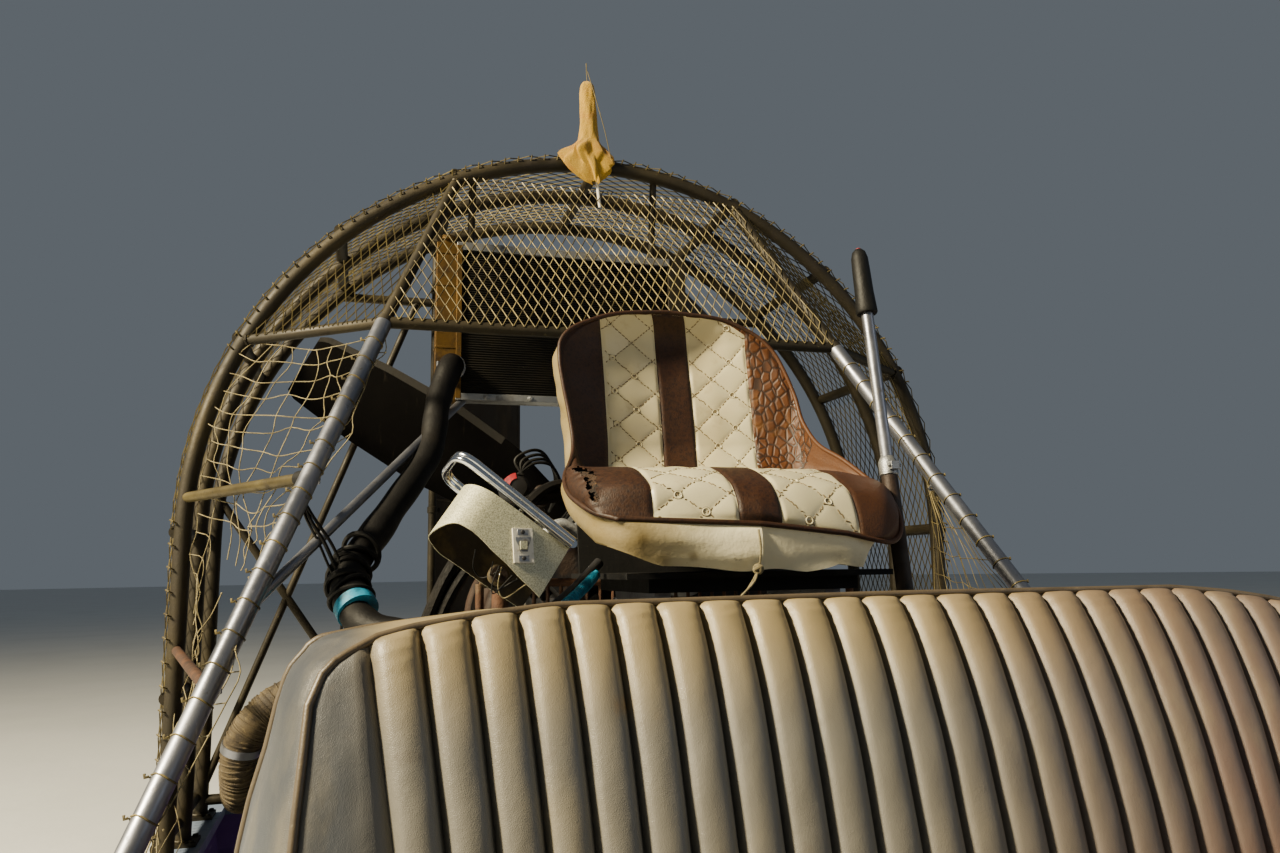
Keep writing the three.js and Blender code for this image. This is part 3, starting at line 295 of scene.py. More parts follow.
def make_finishes():
    f = {}

    def new(name, *args, **fixed):
        f[name] = Finish(name, *args, **fixed)
        return f[name]

    paint = new("hull_paint", "6d4a94", (0.3, 0.5), Coat_Weight=0.3, Coat_Roughness=0.25)
    paint.layer("noise", 1.7, 0.45, 0.75, "8b6bb0", 0.6)
    paint.layer("noise", (2, 2, 14), 0.55, 0.75, "4c3a63", 0.5)
    paint.layer("noise", 26, 0.66, 0.72, "b8b4bd", 0.7, 0.7)
    paint.layer("noise", (30, 3, 40), 0.7, 0.76, "c9c4cf", 0.6)
    paint.bump("noise", 3, 0.004)
    paint.bump("noise", 90, 0.0003)

    rim = new("rim_paint", "75839a", (0.35, 0.6), 0.2)
    rim.layer("noise", 5, 0.5, 0.7, "8d97a8", 0.6)
    rim.layer("noise", 38, 0.64, 0.7, "a9aeb6", 0.8, 0.35, 0.9)
    rim.layer("noise", 12, 0.62, 0.8, "5b4634", 0.5, 0.8)
    rim.bump("noise", 60, 0.0004)

    plate = new("plate", "8f9396", (0.32, 0.6), 0.85)
    plate.layer("noise", 2.4, 0.45, 0.7, "6f7170", 0.7)
    plate.layer("noise", (3, 60, 60), 0.5, 0.72, "b4b7b9", 0.5)
    plate.layer("noise", 7, 0.6, 0.8, "5a4a36", 0.55, 0.8, 0.2)
    plate.bump("noise", (5, 90, 90), 0.0003)

    deck = new("deck_plate", "7f8487", (0.35, 0.65), 0.6)
    deck.layer("noise", 3, 0.45, 0.7, "5c5a52", 0.7, 0.8, 0.2)
    deck.layer("noise", 22, 0.6, 0.72, "3c3a30", 0.5, 0.9, 0.1)
    deck.bump("cells", (24, 60, 24), 0.0016, 0.1, 0.5, (0, 0, 45))
    deck.bump("cells", (60, 24, 24), 0.0012, 0.1, 0.5, (0, 0, 45))

    tube = new("bare_tube", "8a8c94", (0.28, 0.48), 0.9)
    tube.layer("noise", 6, 0.45, 0.72, "787a83", 0.6)
    tube.layer("noise", 45, 0.6, 0.72, "564f43", 0.6, 0.6)
    tube.layer("noise", (60, 60, 8), 0.6, 0.75, "c2c1c8", 0.5, 0.3)
    tube.bump("noise", 70, 0.00025)

    guard = new("guard_tube", "252014", (0.48, 0.7), 0.4)
    guard.layer("noise", 4, 0.45, 0.72, "443b24", 0.6)
    guard.layer("noise", 16, 0.52, 0.7, "1f1810", 0.75, 0.75, 0.3)
    guard.layer("noise", 70, 0.64, 0.74, "7d7249", 0.4)
    guard.layer("noise", 9, 0.66, 0.76, "17120c", 0.7, 0.8, 0.2)
    guard.bump("noise", 60, 0.0005)
    guard.bump("noise", 220, 0.0002)

    mesh = new("guard_mesh", "4b4227", (0.42, 0.62), 0.5)
    mesh.layer("noise", 5, 0.44, 0.68, "7c6f41", 0.6)
    mesh.layer("noise", 30, 0.52, 0.7, "261e12", 0.75, 0.75, 0.3)
    mesh.layer("noise", 3, 0.55, 0.7, "332d1b", 0.6)
    mesh.bump("noise", 150, 0.0003)

    rust = new("rusty_rod", "3f2b1f", (0.6, 0.85), 0.25)
    rust.layer("noise", 12, 0.42, 0.62, "5d3c25", 0.7)
    rust.layer("noise", 45, 0.5, 0.68, "21150f", 0.8)
    rust.layer("noise", 7, 0.6, 0.72, "857c60", 0.6, 0.5, 0.6)
    rust.bump("noise", 120, 0.0009)
    rust.bump("noise", 400, 0.0003)

    pipe = new("rusty_pipe", "2a201a", (0.55, 0.8), 0.3)
    pipe.layer("noise", 8, 0.42, 0.64, "3f2b1e", 0.6)
    pipe.layer("noise", 28, 0.5, 0.66, "16110e", 0.7)
    pipe.layer("noise", 3, 0.56, 0.74, "5c554c", 0.5, 0.5, 0.6)
    pipe.bump("noise", 90, 0.0008)

    wrap = new("pipe_wrap", "51452f", (0.7, 0.9))
    wrap.layer("noise", 20, 0.45, 0.62, "2a2219", 0.8)
    wrap.layer("noise", 60, 0.55, 0.7, "7d6d49", 0.5)
    wrap.bump("noise", 260, 0.0008)
    wrap.bump("cells", 420, 0.0006)

    iron = new("engine_iron", "26272b", (0.45, 0.75), 0.55)
    iron.layer("noise", 14, 0.48, 0.66, "3d2c1e", 0.7, 0.8, 0.2)
    iron.layer("noise", 5, 0.55, 0.7, "111214", 0.8, 0.35)
    iron.layer("noise", 60, 0.6, 0.7, "5a5650", 0.4)
    iron.bump("noise", 160, 0.0009)

    cover = new("cast_cover", "8b8d8f", (0.35, 0.6), 0.85)
    cover.layer("noise", 9, 0.45, 0.66, "5d5a55", 0.7, 0.7, 0.4)
    cover.layer("noise", 30, 0.58, 0.72, "33291f", 0.6, 0.8, 0.2)
    cover.bump("noise", 300, 0.0006)
    cover.bump("noise", 25, 0.0006)

    vinyl = new("bench_vinyl", "6b6860", (0.38, 0.54), Coat_Weight=0.1, Coat_Roughness=0.35)
    # Warmer tan towards the top of the bench backs: tan staining together with painted warm sunlight on
    # the upper channels
    vinyl.layer("height", 1, 1.08, 1.25, "978354", 0.7)
    vinyl.layer("across", 1, -0.15, 0.65, "65433a", 0.75)
    # Bluish grey over the starboard end panel and boxing of each bench: painted shadow
    vinyl.layer("across", 1, -0.655, -0.72, "2e3540", 0.92)
    vinyl.layer("noise", 2.2, 0.42, 0.7, "5f5c55", 0.5)
    vinyl.layer("noise", (7, 7, 2.5), 0.52, 0.74, "857b62", 0.4)
    vinyl.layer("noise", 13, 0.62, 0.76, "51463a", 0.4, 0.6)
    vinyl.spot(P(-414, -1640, 1129), 0.02, "8b6a2c", 0.75)
    vinyl.spot(P(-371, -1645, 1115), 0.016, "94702e", 0.8)
    vinyl.bump("cracks", 520, 0.00012, 0, 0.35)
    vinyl.bump("noise", 45, 0.0006)

    piping = new("bench_piping", "544939", (0.35, 0.5))
    piping.layer("noise", 18, 0.45, 0.68, "3b3329", 0.7)
    piping.layer("noise", 60, 0.62, 0.74, "7d725c", 0.4)
    piping.bump("noise", 300, 0.0003)

    seat = new("seat_vinyl", "bdb594", (0.34, 0.52), Coat_Weight=0.12, Coat_Roughness=0.3)
    seat.layer("noise", 4, 0.42, 0.7, "bbae88", 0.75)
    seat.layer("noise", 17, 0.56, 0.74, "968663", 0.5)
    seat.layer("noise", 60, 0.64, 0.76, "7b6d4c", 0.3)
    seat.bump("noise", 240, 0.00015)

    thread = new("seat_thread", "6b5a3d", (0.7, 0.85))
    thread.layer("noise", 80, 0.45, 0.65, "42351f", 0.7)
    thread.bump("noise", 500, 0.0002)

    brown = new("seat_brown", "1e0f08", (0.5, 0.64), Specular_IOR_Level=0.35)
    brown.layer("noise", 6, 0.45, 0.72, "2b150b", 0.6)
    brown.layer("cells", 170, 0.25, 0.6, "44290f", 0.25)
    brown.layer("cells", 90, 0.3, 0.75, "3b2210", 0.35)
    brown.layer("noise", 30, 0.6, 0.76, "160b06", 0.5)
    # Lighter brown on the port arm, which faces the key light: painted light
    brown.layer("across", 1, 0.10, 0.22, "633a14", 0.45)
    brown.bump("cracks", (190, 190, 120), 0.00015, 0, 0.3)

    croc = new("seat_croc", "4c2a0b", (0.42, 0.58), Specular_IOR_Level=0.35)
    croc.layer("cells", (62, 62, 40), 0.25, 0.8, "3a1f0b", 0.7)
    croc.layer("cracks", (62, 62, 40), 0.14, 0.02, "1c0f06", 0.85)
    # Golden patches over the scales: painted highlight of their sheen
    croc.layer("noise", 18, 0.55, 0.72, "6a4415", 0.5)
    croc.bump("cracks", (62, 62, 40), 0.0011, 0, 0.25)

    border = new("seat_boxing", "e4dbb8", (0.38, 0.56), Coat_Weight=0.08, Coat_Roughness=0.35)
    border.layer("noise", 6, 0.44, 0.7, "ab9a68", 0.7)
    border.layer("noise", (14, 14, 30), 0.54, 0.74, "7c6a38", 0.6)
    # Darker towards the starboard end of the boxing: painted shade
    border.layer("across", 1, -0.11, -0.27, "66531f", 0.85)
    border.layer("noise", 45, 0.62, 0.74, "5a4925", 0.5)
    for x, z, wide in ((-0.292, 1.305, 0.02), (-0.262, 1.330, 0.016), (-0.225, 1.296, 0.022),
                       (-0.176, 1.300, 0.014)):
        border.spot((x, P(0, -1255, 0)[1], z), wide, "62501f", 0.8)
    border.bump("noise", 30, 0.0012)
    border.bump("noise", 180, 0.0003)

    foam = new("old_foam", "33200e", (0.85, 0.95))
    foam.layer("noise", 30, 0.45, 0.6, "140a04", 0.9)
    foam.layer("noise", 90, 0.58, 0.72, "8a6430", 0.6)
    foam.bump("noise", 140, 0.003)
    foam.bump("cells", 300, 0.0015)

    shell = new("seat_shell", "0d0d0d", (0.6, 0.8), Specular_IOR_Level=0.2)
    shell.layer("noise", 9, 0.5, 0.7, "1c1915", 0.6)
    shell.layer("noise", 60, 0.66, 0.74, "3b352d", 0.4)
    shell.bump("noise", 120, 0.0005)

    black = new("black_rubber", "080808", (0.5, 0.75), Specular_IOR_Level=0.28)
    black.layer("noise", 8, 0.48, 0.72, "1b1917", 0.7, 0.7)
    black.layer("noise", 50, 0.62, 0.74, "352e25", 0.35)
    black.bump("noise", 200, 0.0004)
    black.bump("noise", 16, 0.0012)

    hose = new("hose_rubber", "060505", (0.5, 0.72), Specular_IOR_Level=0.22)
    hose.layer("noise", 7, 0.5, 0.7, "18130d", 0.6)
    hose.layer("noise", (18, 18, 5), 0.64, 0.78, "3a3020", 0.4)
    hose.bump("noise", 40, 0.0012)
    hose.bump("noise", 260, 0.0004)

    plastic = new("black_plastic", "17171a", (0.38, 0.6))
    plastic.layer("noise", 10, 0.5, 0.7, "2c2a27", 0.7)
    plastic.layer("noise", 60, 0.62, 0.72, "524b40", 0.4)
    plastic.bump("noise", 240, 0.0004)

    chrome = new("chrome_bar", "dfe2e6", (0.06, 0.2), 1.0)
    chrome.layer("noise", 24, 0.55, 0.7, "9b9ea3", 0.6, 0.35)
    chrome.layer("noise", 90, 0.62, 0.7, "5f5a50", 0.5, 0.6)
    chrome.bump("noise", 60, 0.0002)

    hammered = new("hammered_sheet", "d2cfae", (0.34, 0.5), 0.2)
    hammered.layer("noise", 430, 0.46, 0.58, "7d7c62", 0.6)
    hammered.layer("noise", 5, 0.45, 0.7, "dcd9ba", 0.4)
    # Greyer towards the port end of the sheet, away from the light: painted shade
    hammered.layer("across", 1, -0.50, -0.38, "8f8e7c", 0.5)
    hammered.layer("noise", 620, 0.52, 0.6, "4e4d40", 0.45)
    hammered.bump("noise", 430, 0.0002)

    inside = new("sheet_inside", "3b3222", (0.6, 0.8), 0.2)
    inside.layer("noise", 20, 0.45, 0.65, "6b5a36", 0.7)
    inside.bump("noise", 90, 0.0006)

    white = new("switch_plate", "ddd9cc", (0.35, 0.5))
    white.layer("noise", 40, 0.5, 0.7, "b9b19a", 0.7)
    white.layer("noise", 160, 0.6, 0.7, "8e8570", 0.5)
    white.bump("noise", 200, 0.0003)

    brass = new("radiator_brass", "63491a", (0.4, 0.62), 0.6)
    brass.layer("noise", 7, 0.42, 0.66, "473416", 0.75)
    brass.layer("noise", 26, 0.54, 0.7, "291e11", 0.7, 0.7)
    brass.layer("noise", 12, 0.64, 0.76, "8a7034", 0.5)
    brass.bump("noise", 60, 0.0009)

    core = new("radiator_core", "171510", (0.5, 0.75), 0.5)
    core.layer("noise", 9, 0.45, 0.65, "262117", 0.7)
    core.layer("noise", 60, 0.6, 0.7, "3c3423", 0.4)
    core.bump("noise", 200, 0.0004)

    string = new("string", "a89b74", (0.75, 0.9))
    string.layer("noise", 16, 0.45, 0.65, "6f6343", 0.8)
    string.layer("noise", 90, 0.55, 0.7, "423926", 0.5)
    string.bump("bands", (700, 700, 700), 0.0004, turn=(35, 20, 45))

    wire = new("net_wire", "5b5238", (0.5, 0.75), 0.4)
    wire.layer("noise", 16, 0.45, 0.65, "8b7c4c", 0.7)
    wire.bump("noise", 200, 0.0003)

    rudder = new("rudder_paint", "3a3022", (0.45, 0.65), 0.25)
    rudder.layer("noise", 2.5, 0.42, 0.68, "2a2319", 0.7)
    rudder.layer("noise", (9, 9, 2), 0.52, 0.7, "54452c", 0.5)
    rudder.layer("noise", 40, 0.64, 0.74, "7d7257", 0.4)
    rudder.bump("noise", 5, 0.002)
    rudder.bump("noise", 120, 0.0004)

    blade = new("propeller_paint", "050404", (0.6, 0.78), Specular_IOR_Level=0.06)
    blade.layer("noise", 5, 0.48, 0.72, "0c0a08", 0.7)
    blade.layer("noise", (60, 12, 12), 0.62, 0.76, "39332a", 0.3, 0.7)
    blade.bump("noise", 120, 0.0003)

    edge = new("blade_edge", "2b2926", (0.45, 0.62), 0.4)
    edge.layer("noise", 30, 0.45, 0.65, "2a2722", 0.7)
    edge.bump("noise", 150, 0.0005)

    cloth = new("pennant_cloth", "c59c02", (0.75, 0.9), Sheen_Weight=0.2)
    cloth.layer("noise", 14, 0.48, 0.7, "b37404", 0.6)
    cloth.layer("cells", 420, 0.3, 0.6, "7a5204", 0.5)
    cloth.layer("noise", 9, 0.58, 0.74, "8a3f06", 0.4)
    cloth.bump("cells", 420, 0.0015, 0.1, 0.6)
    cloth.bump("noise", 60, 0.0015)

    staff = new("white_staff", "d5cfc0", (0.4, 0.6))
    staff.layer("noise", (40, 40, 8), 0.5, 0.7, "9a927e", 0.7)
    staff.bump("noise", 200, 0.0003)

    blue = new("blue_tape", "1c84a8", (0.35, 0.55))
    blue.layer("noise", 60, 0.45, 0.65, "0e4c63", 0.7)
    blue.layer("noise", 20, 0.6, 0.72, "6fb7cc", 0.5)
    blue.bump("noise", 220, 0.0008)

    red = new("red_cap", "8c1620", (0.4, 0.6))
    red.layer("noise", 50, 0.5, 0.7, "4c0d12", 0.7)
    red.bump("noise", 160, 0.0004)

    floor = new("floor", "cfd0cd", (0.75, 0.9))
    floor.layer("noise", 0.8, 0.4, 0.7, "c4c5c2", 0.5)
    floor.bump("noise", 30, 0.0006)
    return {name: made.material for name, made in f.items()}


# Meshes

def spline(points, steps):
    """A centripetal Catmull-Rom curve through the points."""
    p = np.asarray(points, float)
    ends = np.vstack([2 * p[0] - p[1], p, 2 * p[-1] - p[-2]])
    knots = np.concatenate([[0], np.cumsum(np.linalg.norm(np.diff(ends, axis=0), axis=1) ** 0.5)])
    out = []
    for i in range(1, len(ends) - 2):
        t0, t1, t2, t3 = knots[i - 1 : i + 3]
        q0, q1, q2, q3 = ends[i - 1 : i + 3]
        for t in np.linspace(t1, t2, steps, endpoint=False):
            a1 = (t1 - t) / (t1 - t0) * q0 + (t - t0) / (t1 - t0) * q1
            a2 = (t2 - t) / (t2 - t1) * q1 + (t - t1) / (t2 - t1) * q2
            a3 = (t3 - t) / (t3 - t2) * q2 + (t - t2) / (t3 - t2) * q3
            b1 = (t2 - t) / (t2 - t0) * a1 + (t - t0) / (t2 - t0) * a2
            b2 = (t3 - t) / (t3 - t1) * a2 + (t - t1) / (t3 - t1) * a3
            out.append((t2 - t) / (t2 - t1) * b1 + (t - t1) / (t2 - t1) * b2)
    return np.array(out + [p[-1]])


def rounded(points, corner, steps=8):
    """Straight legs with a rounded corner at each inner point."""
    p = [np.asarray(q, float) for q in points]
    route = [p[0]]
    for i in range(1, len(p) - 1):
        back, on = p[i - 1] - p[i], p[i + 1] - p[i]
        a = p[i] + back / np.linalg.norm(back) * corner
        b = p[i] + on / np.linalg.norm(on) * corner
        for t in np.linspace(0, 1, steps + 1):
            route.append((1 - t) ** 2 * a + 2 * t * (1 - t) * p[i] + t * t * b)
    return np.array(route + [p[-1]])


def smoothstep(low, high, value):
    t = np.clip((np.asarray(value, float) - low) / (high - low), 0, 1)
    return t * t * (3 - 2 * t)


def wander(points, size, seed=0):
    """A smooth value from -1 to 1 at each point, with bumps about size metres apart."""
    p = np.asarray(points, float) / size
    rng = np.random.default_rng(seed + 100)
    total = np.zeros(p.shape[:-1])
    for _ in range(7):
        direction = rng.normal(size=3)
        direction *= rng.uniform(0.6, 1.5) / np.linalg.norm(direction) * 3.0
        total += np.sin(p @ direction + rng.uniform(0, 6.28))
    return total / 4


def through(table, v):
    """Smooth values of a table at v, its first column being the place."""
    table = np.array(table, float)
    keys, values = table[:, 0], table[:, 1:]
    slopes = np.gradient(values, keys, axis=0)
    k = np.clip(np.searchsorted(keys, v, "right") - 1, 0, len(keys) - 2)
    h = keys[k + 1] - keys[k]
    t = (v - keys[k]) / h
    h = h[:, None]
    t = t[:, None]
    return (
        (2 * t**3 - 3 * t**2 + 1) * values[k] + (t**3 - 2 * t**2 + t) * h * slopes[k]
        + (-2 * t**3 + 3 * t**2) * values[k + 1] + (t**3 - t**2) * h * slopes[k + 1]
    )


BOX_FACES = [(0, 1, 3, 2), (4, 6, 7, 5), (0, 4, 5, 1), (2, 3, 7, 6), (0, 2, 6, 4), (1, 5, 7, 3)]


class Form:
    """Points and faces gathered from simple shapes; kind is the material number of what is added."""

    def __init__(self):
        self.points, self.faces, self.kinds = [], [], []
        self.kind = 0

    def add(self, points, faces):
        base = len(self.points)
        self.points.extend(map(tuple, np.asarray(points, float)))
        self.faces.extend(tuple(i + base for i in face) for face in faces)
        self.kinds.extend([self.kind] * len(faces))

    def rings(self, rings, closed=False, caps=True):
        """A skin over like rings of points; with closed, the last joins the first."""
        rings = np.asarray(rings, float)
        count, size = rings.shape[:2]
        faces = []
        for i in range(count if closed else count - 1):
            a, b = i * size, ((i + 1) % count) * size
            faces.extend((a + j, a + (j + 1) % size, b + (j + 1) % size, b + j) for j in range(size))
        if caps and not closed:
            faces.append(tuple(range(size))[::-1])
            faces.append(tuple(range((count - 1) * size, count * size)))
        self.add(rings.reshape(-1, 3), faces)

    def tube(self, path, radius, sides=16, closed=False, oval=1.0, turn=0.0):
        path = np.asarray(path, float)
        steps = np.roll(path, -1, 0) - np.roll(path, 1, 0) if closed else np.gradient(path, axis=0)
        steps /= np.linalg.norm(steps, axis=1, keepdims=True)
        radii = np.broadcast_to(np.asarray(radius, float), (len(path),))
        angles = turns(sides) + turn
        side, _ = square_to(steps[0], (0, 1, 0))
        rings = []
        for place, step, r in zip(path, steps, radii):
            side = unit(side - step * (side @ step))
            up = np.cross(step, side)
            rings.append(place + r * (np.outer(np.cos(angles), side)
                                      + oval * np.outer(np.sin(angles), up)))
        self.rings(rings, closed)

    def rod(self, a, b, radius, sides=16):
        self.tube([a, b], radius, sides)

    def lathe(self, profile, origin, axis, sides=24):
        """Profile of radius and height, in metres, turned about an axis."""
        axis = unit(axis)
        side, up = square_to(axis)
        self.rings([circle(origin + axis * h, side, up, max(r, 1e-5), sides) for r, h in profile])

    def block(self, where, low, high):
        """A box from low to high, set in the frame by where(x, y, z)."""
        self.add([where(x, y, z) for x, y, z in itertools.product(*zip(low, high))], BOX_FACES)

    def box(self, low, high):
        self.block(lambda x, y, z: (x, y, z), np.minimum(low, high), np.maximum(low, high))

    def slab(self, outline, depth):
        """A plate: an outline of points, moved on by depth."""
        outline = np.asarray(outline, float)
        self.rings([outline, outline + np.asarray(depth)])

    def grid(self, points):
        rows, columns = points.shape[:2]
        self.add(points.reshape(-1, 3), [
            (i * columns + j, i * columns + j + 1, (i + 1) * columns + j + 1, (i + 1) * columns + j)
            for i in range(rows - 1) for j in range(columns - 1)
        ])


FINISHES = make_finishes()


def build(name, form, body, finishes, replaces=(), smooth=35, bevel=0.0, weld=False):
    mesh = bpy.data.meshes.new(name)
    mesh.from_pydata(form.points, [], form.faces)
    for key in finishes:
        mesh.materials.append(FINISHES[key])
    mesh.polygons.foreach_set("material_index", form.kinds)
    work = bmesh.new()
    work.from_mesh(mesh)
    if weld:
        bmesh.ops.remove_doubles(work, verts=work.verts, dist=1e-5)
    bmesh.ops.recalc_face_normals(work, faces=work.faces)
    work.to_mesh(mesh)
    work.free()
    mesh.polygons.foreach_set("use_smooth", [True] * len(mesh.polygons))
    mesh.set_sharp_from_angle(angle=math.radians(smooth))
    obj = bpy.data.objects.new(name, mesh)
    bpy.context.scene.collection.objects.link(obj)
    if bevel:
        cut = obj.modifiers.new("bevel", "BEVEL")
        cut.width = bevel
        cut.segments = 2
        cut.limit_method = "ANGLE"
        cut.angle_limit = math.radians(50)
    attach(obj, body)
    if replaces:
        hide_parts(*replaces)
    return obj


def dress(node, key):
    """Gives a kept solid its finish."""
    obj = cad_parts[node]
    obj.data.materials.clear()
    obj.data.materials.append(FINISHES[key])


# Guard cage

def on_wall(run, y, radius):
    """A place on the cage's wall: run along a hoop from the starboard foot, in millimetres."""
    if run < LEG:
        return P(-radius, y, GUNWALE_Z + run)
    if run > LEG + ARCH:
        return P(radius, y, GUNWALE_Z + 2 * LEG + ARCH - run)
    turn = math.pi - (run - LEG) / ARCH_R
    return P(radius * math.cos(turn), y, SPRING_Z + radius * math.sin(turn))


def bolt(form, place, axis, radius=0.008, high=0.006):
    """A washer and a hexagonal head."""
    place, axis = np.asarray(place, float), np.asarray(axis, float)
    form.lathe([(radius * 1.5, -0.001), (radius * 1.5, 0.0015)], place, axis, 16)
    form.lathe([(radius, 0.001), (radius, high), (radius * 0.8, high + 0.001)], place, axis, 6)


def weld_bead(form, centre, axis, radius, thick=0.004):
    """A lumpy ring of weld round a tube."""
    count = 28
    lumps = thick * (1 + 0.3 * np.sin(turns(count) * 9))
    form.tube(circle(centre, *square_to(axis), radius, count), lumps, 6, closed=True)


def hoop_pieces():
    for name, y in (("front", 0), ("middle", 262), ("rear", REAR_Y)):
        form = Form()
        path = [on_wall(run, y, ARCH_R) for run in [0, LEG * 0.5] + list(LEG + ARCH * np.arange(73) / 72)]
        path += [on_wall(RUN - LEG * 0.5, y, ARCH_R), on_wall(RUN, y, ARCH_R)]
        form.tube(path, HOOP_TUBE_R / 1000, 20)
        for x in (-ARCH_R, ARCH_R):
            form.box(P(x - 40, y - 45, GUNWALE_Z + 0.3), P(x + 40, y + 45, GUNWALE_Z + 10))
            weld_bead(form, P(x, y, GUNWALE_Z + 12), (0, 0, 1), 0.0225)
            for dy in (-33, 33):
                bolt(form, P(x + 28, y + dy, GUNWALE_Z + 10), (0, 0, 1))
        if name == "rear":
            for x in (-RUDDER_X, RUDDER_X):
                form.box(P(x - 20, y, 2436), P(x + 20, 662, 2448))
                form.rod(P(x, RUDDER_Y, 2396), P(x, RUDDER_Y, 2440), 0.008)
                bolt(form, P(x, RUDDER_Y, 2448), (0, 0, 1), 0.009)
        build("hoop_" + name + "_tube", form, "boat", ["guard_tube"], ["hoop_" + name])


STRAND_R = 0.0019


def strand(form, path):
    form.tube(path, STRAND_R, 4, oval=0.75, turn=math.pi / 4)


def zigzag(form, place, count, first, swing):
    """One strand of the expanded mesh: place(step, side) for each step, swinging side to side."""
    strand(form, [place(i, swing * (0.5 if (i + first) % 2 else -0.5)) for i in range(count + 1)])


def wall_pieces():
    bars = Form()
    runs = [60, LEG / 2] + [LEG + ARCH * deg / 180 for deg in LONG_BARS] + [RUN - LEG / 2, RUN - 60]
    for run in runs:
        bars.tube([on_wall(run, y, ARCH_R + 16) for y in (-6, 0, 140, 262, 410, 559, 565)], 0.018, 16)
        for y in (0, 262, REAR_Y):
            a, b = on_wall(run - 24, y, ARCH_R + 10), on_wall(run + 24, y, ARCH_R + 10)
            bars.tube([a, along(a, b, 0.3), along(a, b, 0.7), b], [0.004, 0.009, 0.009, 0.004], 8)
    mesh = Form()
    half_long, spacing, swing = 30, 16.2, 13.6
    count = int((RUN - 60) / half_long)
    rows = int((REAR_Y + 10) / spacing)
    for row in range(rows + 1):
        y = -5 + row * spacing

        def place(i, side, y=y):
            run = 30 + i * half_long
            lift = 3.0 * math.sin(run / 140 + y / 50) * math.sin(y / 90)
            return on_wall(run, y + side, ARCH_R + 28 + lift)

        zigzag(mesh, place, count, row % 2, swing)
    build("wall_mesh", mesh, "boat", ["guard_mesh"], ["cage_wall"])
    build("long_bars", bars, "boat", ["guard_tube"], ["cage_wall"])


def clipped(a, b, outline):
    """The part of a segment inside a convex outline in the plane, or None."""
    low, high = 0.0, 1.0
    d = b - a
    for k in range(len(outline)):
        p, q = outline[k], outline[(k + 1) % len(outline)]
        inward = np.array((-(q - p)[1], (q - p)[0]))
        start, change = inward @ (a - p), inward @ d
        if abs(change) < 1e-12:
            if start < 0:
                return None
            continue
        t = -start / change
        if change > 0:
            low = max(low, t)
        else:
            high = min(high, t)
    return (a + d * low, a + d * high) if high - low > 1e-6 else None


def mesh_panel(form, corners, up, pitch=0.030, half_long=0.030):
    """Expanded mesh in a flat panel: strands run along up, clipped to the convex outline."""
    corners = [np.asarray(c, float) for c in corners]
    origin = corners[0]
    normal = unit(np.cross(corners[1] - origin, corners[2] - origin))
    w = unit(up - normal * (up @ normal))
    u = np.cross(w, normal)
    flat = [np.array(((c - origin) @ u, (c - origin) @ w)) for c in corners]
    area = sum(flat[k][0] * flat[k - 1][1] - flat[k][1] * flat[k - 1][0] for k in range(len(flat)))
    if area > 0:
        flat = flat[::-1]
    low, high = np.min(flat, axis=0), np.max(flat, axis=0)
    step = pitch / 2
    for row in range(int((high[0] - low[0]) / step) + 2):
        centre = low[0] + row * step
        path = []
        for i in range(int((high[1] - low[1]) / half_long) + 3):
            side = step * (0.46 if (i + row) % 2 else -0.46)
            path.append(np.array((centre + side, low[1] + (i - 1) * half_long)))
        piece = []
        for a, b in zip(path, path[1:]):
            cut = clipped(a, b, flat)
            if cut is None:
                if len(piece) > 1:
                    strand(form, piece)
                piece = []
                continue
            ends = [origin + u * c[0] + w * c[1] for c in cut]
            piece = piece + ends[1:] if piece else ends
        if len(piece) > 1:
            strand(form, piece)


def visor_pieces():
    ends = [at(VISOR_END, s) for s in (-1, 1)]
    tops = [at(VISOR_TOP, s) for s in (-1, 1)]
    hips = [at(VISOR_HIP, s) for s in (-1, 1)]
    bars = Form()
    bars.rod(ends[0], ends[1], 0.016)
    for k in (0, 1):
        bars.rod(tops[k], ends[k], 0.017)
        bars.rod(hips[k], ends[k], 0.015)
        bars.lathe([(0.012, -0.018), (0.021, -0.012), (0.021, 0.012), (0.012, 0.018)], ends[k],
                   ends[k] - tops[k])
        for other in (tops[k], hips[k]):
            weld_bead(bars, along(other, ends[k], 0.035), ends[k] - other, 0.0165)
    build("visor_bars", bars, "boat", ["guard_tube"], ["visor"])
    mesh = Form()
    lift = np.array((0, -0.016, 0.006))
    mesh_panel(mesh, [ends[0] + lift, ends[1] + lift, tops[1] + lift, tops[0] + lift],
               np.array((0, 0.262, 0.53)))
    for k in (0, 1):
        out = np.array(((-1, 1)[k] * 0.008, -0.014, 0.004))
        mesh_panel(mesh, [ends[k] + out, hips[k] + out, tops[k] + out], tops[k] - ends[k])
    # Cut ends of the strands hooked over the front hoop
    for i in range(64):
        run = LEG + ARCH * (0.14 + 0.72 * i / 63)
        a, b = on_wall(run, -16, ARCH_R + 6), on_wall(run + 5, -25, ARCH_R + 22)
        c = on_wall(run + 9, -14, ARCH_R + 30)
        mesh.tube([a, b, c], [0.002, 0.0025, 0.0018], 5)
    for i in range(int(LEG / 60) * 2):
        side, k = i % 2, i // 2
        run = 90 + k * 60
        run = run if side else RUN - run
        a, b = on_wall(run, -14, ARCH_R + 12), on_wall(run + 6, -27, ARCH_R + 22)
        mesh.tube([a, b, on_wall(run + 10, -20, ARCH_R + 30)], 0.0024, 5)
    build("visor_mesh", mesh, "boat", ["guard_mesh"], ["visor"])


